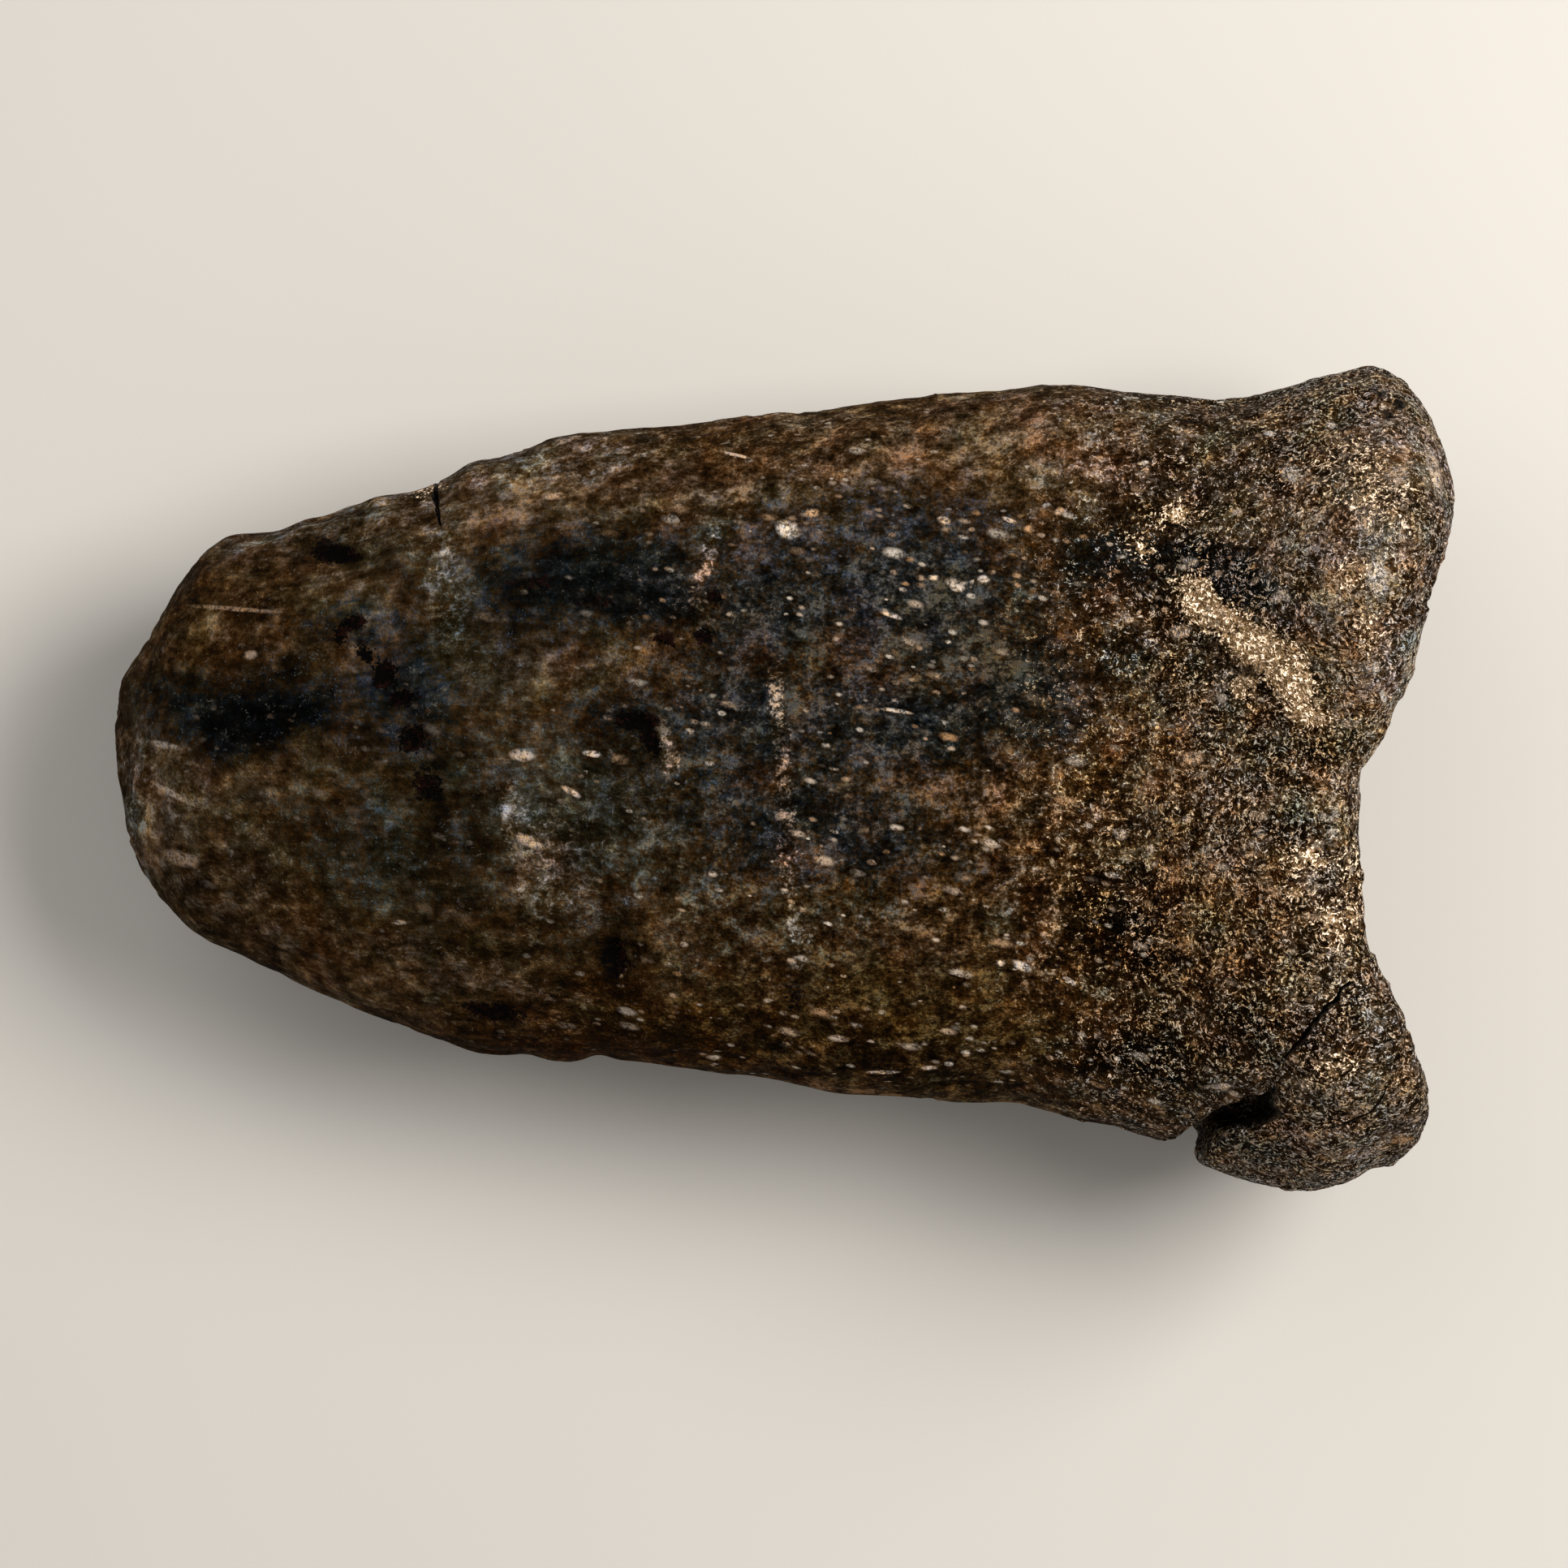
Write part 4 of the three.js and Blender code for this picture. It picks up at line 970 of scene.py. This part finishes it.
def bone_material(colours, groups):
    """Dark mottled stone skin, with stains, crusts, grains, flecks, veins and hollows, and light and
    shade painted into its tone.
    """
    material, graph = new_material("Fossil bone")
    tint = {name: tuple(getattr(colours, name)) for name in BoneColours.__annotations__}
    place = graph.place()
    curled, stray = graph.wandering(place, 1.2, 0.85)
    bent = graph.vector("ADD", place, graph.scaled(stray, 0.15))
    grit, crisp, rime = graph.field("grit"), graph.field("crisp"), graph.field("rime")

    mottle = graph.noise(graph.vector("MULTIPLY", place, (0.85, 1.0, 1.0)), 1.4, 3.5, 0.95)
    streak = graph.noise(graph.vector("MULTIPLY", place, (0.15, 1.0, 1.0)), 0.6, 2.0, 0.7)
    spots = graph.noise(place, 1.1, 1.0, 0.8)
    grain = graph.group(groups["grain"], Place=curled, Size=GRAIN_SIZE)
    hue = graph.channels(graph.noise(place, 0.5, 2.0, 0.8, "Color"))
    lace = graph.sum(mottle, (hue["X"], 0.6), (grain["Tone"], 0.25), (-0.3, 1.0))

    def layer(name):
        """Where a colour shows, its borders frayed."""
        fray, softness, strength = LAYERS[name]
        patch = graph.group(
            groups["lace"], Zone=graph.field(name), Lace=lace, Fray=fray, Softness=softness,
        )
        return graph.product(patch["Mask"], strength)

    colour = tint["ground"]
    for name in ("olive", "moss", "rust", "crust"):
        colour = graph.mix(layer(name), colour, tint[name])
    stained = layer("stain")
    colour = graph.mix(stained, colour, tint["stain"])
    colour = graph.mix(layer("vein"), colour, tint["vein"])

    # Tone in stops: the shade field, whose zones are partly painted light and shade, then mottling,
    # long streaks, and grains that are strongest at the rear end.
    contrast = graph.sum((grit, 5.7), (crisp, 0.8), (0.3, 1.0))
    blotch = graph.leaning(mottle, graph.sum((crisp, 14.0), (grit, -13.0), (8.0, 1.0)))
    drawn = graph.leaning(streak, graph.ramp(crisp, 0.0, 1.0, 4.0, 1.0))
    spotty = graph.leaning(spots, graph.sum((grit, 5.0), graph.ramp(crisp, 0.0, 0.8, 5.0, 0.0)))
    stops = graph.sum(
        graph.field("shade"), blotch, drawn, spotty, (grain["Tone"], contrast), (grit, -0.65),
    )
    tone = graph.math("POWER", 2.0, graph.math("MINIMUM", stops, BRIGHTEST_STOPS))
    brightness = graph.ramp(stops, -2.0, 1.8)
    cast = graph.mix(brightness, DARK_CAST, LIGHT_CAST)
    cast = graph.mix(stained, cast, graph.mix(brightness, DARK_STAIN_CAST, LIGHT_STAIN_CAST))
    colour = graph.mix(1.0, colour, graph.scaled(cast, tone), "MULTIPLY")

    # Pale grains, and a scatter of warm and cool ones. Towards the rear end, and most where whitish
    # grains crowd, the pale grains are more numerous and whiter: partly the stone's own pale grains,
    # partly painted glints.
    warm = graph.mix(graph.ramp(hue["Z"], 0.52, 0.62), tint["cream"], tint["orange"])
    pale = graph.mix(graph.ramp(graph.sum(hue["Y"], (rime, -0.15)), 0.46, 0.62), tint["white"], warm)
    palest = graph.product(grain["Light"], graph.ramp(mottle, 0.38, 0.54, 0.7, 1.0))
    least = graph.sum((grit, -0.6), (rime, -0.1), (0.98, 1.0))
    colour = graph.mix(graph.ramp(palest, least, 1.1), colour, pale)
    uneven = graph.mix(graph.ramp(hue["X"], 0.3, 0.7), WARM_GRAIN, COOL_GRAIN)
    scatter = graph.vector("MULTIPLY", uneven, graph.field("hue", "Vector"))
    colour = graph.mix(1.0, colour, scatter, "MULTIPLY")

    # Cream patches and flecks.
    cream_stops = graph.sum(
        (mottle, 4.5), (grain["Tone"], 4.2), (graph.field("cream"), 1.4), (-3.8, 1.0),
    )
    cream_tone = graph.math("POWER", 2.0, cream_stops)
    cream_cast = graph.mix(graph.ramp(cream_tone, 0.3, 2.2), DARK_CREAM, LIGHT_CREAM)
    cream = graph.mix(1.0, tint["cream"], graph.scaled(cream_cast, cream_tone), "MULTIPLY")
    colour = graph.mix(layer("cream"), colour, cream)
    ragged = graph.ramp(graph.sum(hue["Y"], (grain["Tone"], 0.2)), 0.36, 0.56, 0.15, 1.0)
    opacity = graph.product(ragged, graph.ramp(crisp, 0.0, 1.0, 0.12, 0.95))
    crowd = graph.field("crowd")
    for length, width, share in FLECKS:
        flecks = graph.group(
            groups["flecks"], Place=bent, Length=length, Width=width, Share=graph.product(crowd, share),
            Slope=FLECK_SLOPE,
        )
        fleck_colour = graph.mix(flecks["Tint"], tint["white"], tint["orange"])
        fleck_colour = graph.mix(graph.ramp(grit, 0.0, 0.5, 0.3, 0.0), fleck_colour, colour)
        colour = graph.mix(graph.product(flecks["Mask"], opacity), colour, fleck_colour)

    # Marks with places of their own.
    shape = graph.channels(graph.field("mark_shape", "Vector"))
    mark = graph.group(
        groups["mark"], Place=bent, Centre=graph.field("mark_centre", "Vector"),
        Half_length=shape["X"], Half_width=shape["Y"], Turn=shape["Z"],
    )["Mask"]
    strength = graph.product(ragged, graph.ramp(crisp, 0.0, 0.3, 0.4, 1.0), graph.field("mark_near"))
    grained = graph.math("MINIMUM", graph.product(grain["Tone"], 5.0, grit), 0.2)
    mark_colour = graph.mix(graph.field("mark_tint"), tint["white"], tint["orange"])
    mark_colour = graph.scaled(mark_colour, graph.math("POWER", 2.0, grained))
    mark_colour = graph.mix(1.0, mark_colour, uneven, "MULTIPLY")
    colour = graph.mix(graph.product(mark, strength), colour, mark_colour)

    # Hollows are dark, with a red floor. The dark is partly painted shade of the hollows.
    floor = graph.mix(graph.ramp(mottle, 0.52, 0.66), tint["deep"], tint["red"])
    colour = graph.mix(layer("deep"), colour, floor)

    height = graph.sum(
        (grain["Height"], graph.sum((grit, 0.8), (0.06, 1.0))), (streak, 0.08),
        (mottle, graph.sum((grit, 0.9), (0.35, 1.0))),
    )
    shine = graph.sum((grain["Light"], -0.15), (grit, -0.1), (0.82, 1.0))
    glint = graph.product(grain["Light"], graph.sum((grit, 0.3), (rime, 0.8)))
    graph.surface(colour, shine, 0.015, height, Coat_Weight=glint, Coat_Roughness=0.22)
    return material


def broken_material(colours, groups):
    """The inside of the stone, in the break and the cracks: black-brown, spongy, red in spots."""
    material, graph = new_material("Broken fossil bone")
    deep, red = tuple(colours.deep), tuple(c * 5 for c in colours.red)
    place = graph.place()
    grain = graph.group(groups["grain"], Place=place, Size=0.5)
    patches = graph.noise(place, 1.3, 3.0, 0.6)
    colour = graph.mix(graph.ramp(patches, 0.4, 0.62), deep, tuple(colours.sponge))
    colour = graph.mix(graph.ramp(patches, 0.6, 0.68), colour, red)
    colour = graph.mix(graph.product(grain["Light"], 0.22), colour, tuple(colours.cream))
    colour = graph.mix(graph.product(grain["Dark"], 0.8), colour, deep)
    height = graph.sum((grain["Height"], 0.4), (patches, 0.5))
    graph.surface(colour, graph.ramp(patches, 0.3, 0.7, 0.7, 0.9), 0.2, height)
    return material


def floor_material(colour):
    """Smooth pale board."""
    material, graph = new_material("Pale floor")
    cloud = graph.ramp(graph.noise(graph.place(), 60.0), 0.3, 0.7)
    graph.surface(graph.mix(cloud, tuple(c * 0.985 for c in colour), tuple(colour)), 0.8, 0.2)
    return material


def shared_groups():
    """The node groups that the materials share, made once."""
    makers = {
        "grain": ("Stone grain", stone_grain_group), "flecks": ("Long flecks", long_flecks_group),
        "mark": ("Placed mark", placed_mark_group), "lace": ("Lacy patch", lacy_patch_group),
    }
    return {key: bpy.data.node_groups.get(name) or make() for key, (name, make) in makers.items()}


# ---------------------------------------------------------------- operators


class FOSSIL_OT_vertebra(bpy.types.Operator):
    """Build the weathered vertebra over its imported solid"""

    bl_idname = "fossil.vertebra"
    bl_label = "Build vertebra"

    def execute(self, context):
        sizes, colours = context.scene.fossil_relief, context.scene.fossil_colours
        groups = shared_groups()
        skin = even_skin(sizes.cell)
        weather(skin, sizes)
        surface = BVHTree.FromObject(skin, context.evaluated_depsgraph_get())
        skin.data.materials.clear()
        skin.data.materials.append(bone_material(colours, groups))
        broken = broken_material(colours, groups)
        cutters = [break_cutter(sizes.crag / MM)]
        for path, closed, width, depth in CRACKS:
            cutters.append(crack_cutter(path[closed:], width, depth, surface))
        cut(skin, cutters, broken)
        skin.data.shade_smooth()
        skin.data.set_sharp_from_angle(angle=math.radians(SHARP_DEGREES))
        colour_zones(skin)
        mark_places(skin)
        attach(skin, "root")
        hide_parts(NODE)
        return {"FINISHED"}


# Places and sizes of the stage, in metres. The lens is in millimetres.
KEY_PLACE, KEY_SIZE, KEY_COLOUR = (0.26, 0.10, 0.34), 0.24, (1.0, 0.95, 0.88)
FILL_PLACE, FILL_SIZE, FILL_COLOUR = (-0.35, 0.35, 0.55), 0.6, (1.0, 0.98, 0.95)
LIT_PLACE = (0, 0, 0.015)
CAMERA_PLACE = (0.00055, -0.0004, 0.412)
CAMERA_LENS, CAMERA_SENSOR = 134.1, 36
CAMERA_NEAREST, CAMERA_FARTHEST = 0.01, 10
SKY_COLOUR = (1.0, 0.965, 0.92, 1)


class FOSSIL_OT_stage(bpy.types.Operator):
    """Build the pale floor, the soft lights and the camera"""

    bl_idname = "fossil.stage"
    bl_label = "Build stage"

    def execute(self, context):
        scene, settings = context.scene, context.scene.fossil_stage
        half = settings.floor_size / 2
        mesh = bpy.data.meshes.new("floor")
        corners = [(-half, -half, 0), (half, -half, 0), (half, half, 0), (-half, half, 0)]
        mesh.from_pydata(corners, [], [(0, 1, 2, 3)])
        mesh.materials.append(floor_material(settings.floor_colour))
        new_piece("floor", mesh)
        soft_light("key", KEY_PLACE, KEY_SIZE, settings.key_power, KEY_COLOUR)
        soft_light("fill", FILL_PLACE, FILL_SIZE, settings.fill_power, FILL_COLOUR)
        scene.world = bpy.data.worlds.new("Studio")
        scene.world.use_nodes = True
        background = scene.world.node_tree.nodes["Background"]
        background.inputs["Color"].default_value = SKY_COLOUR
        background.inputs["Strength"].default_value = settings.sky
        scene.view_settings.view_transform = "Standard"
        scene.camera = top_camera()
        return {"FINISHED"}


def soft_light(name, place, size, power, colour):
    """A square area light that looks at the middle of the bone."""
    data = bpy.data.lights.new(name, "AREA")
    data.size, data.energy, data.color = size, power, colour
    light = new_piece(name, data)
    light.location = place
    light.rotation_euler = (Vector(LIT_PLACE) - light.location).to_track_quat("-Z", "Y").to_euler()


def top_camera():
    """The camera looks straight down on the bone."""
    data = bpy.data.cameras.new("camera")
    data.sensor_width, data.lens = CAMERA_SENSOR, CAMERA_LENS
    data.clip_start, data.clip_end = CAMERA_NEAREST, CAMERA_FARTHEST
    camera = new_piece("camera", data)
    camera.location = CAMERA_PLACE
    return camera


class FOSSIL_PT_sidebar(bpy.types.Panel):
    """Fossil vertebra"""

    bl_idname = "FOSSIL_PT_sidebar"
    bl_label = "Fossil vertebra"
    bl_space_type = "VIEW_3D"
    bl_region_type = "UI"
    bl_category = "Fossil"

    def draw(self, context):
        for operator, groups in OPERATORS:
            box = self.layout.box()
            box.operator(operator)
            for group in groups:
                settings = getattr(context.scene, group)
                for name in settings.__annotations__:
                    box.prop(settings, name)


OPERATORS = (
    ("fossil.vertebra", ("fossil_relief", "fossil_colours")),
    ("fossil.stage", ("fossil_stage",)),
)
SETTINGS = {"fossil_relief": BoneRelief, "fossil_colours": BoneColours, "fossil_stage": StageSettings}
CLASSES = (
    BoneRelief, BoneColours, StageSettings, FOSSIL_OT_vertebra, FOSSIL_OT_stage, FOSSIL_PT_sidebar,
)


def register():
    for cls in CLASSES:
        bpy.utils.register_class(cls)
    for name, group in SETTINGS.items():
        setattr(bpy.types.Scene, name, bpy.props.PointerProperty(type=group))


def unregister():
    for name in SETTINGS:
        delattr(bpy.types.Scene, name)
    for cls in reversed(CLASSES):
        bpy.utils.unregister_class(cls)


def main():
    register()
    bpy.ops.fossil.stage()
    bpy.ops.fossil.vertebra()


if __name__ == "__main__":
    main()
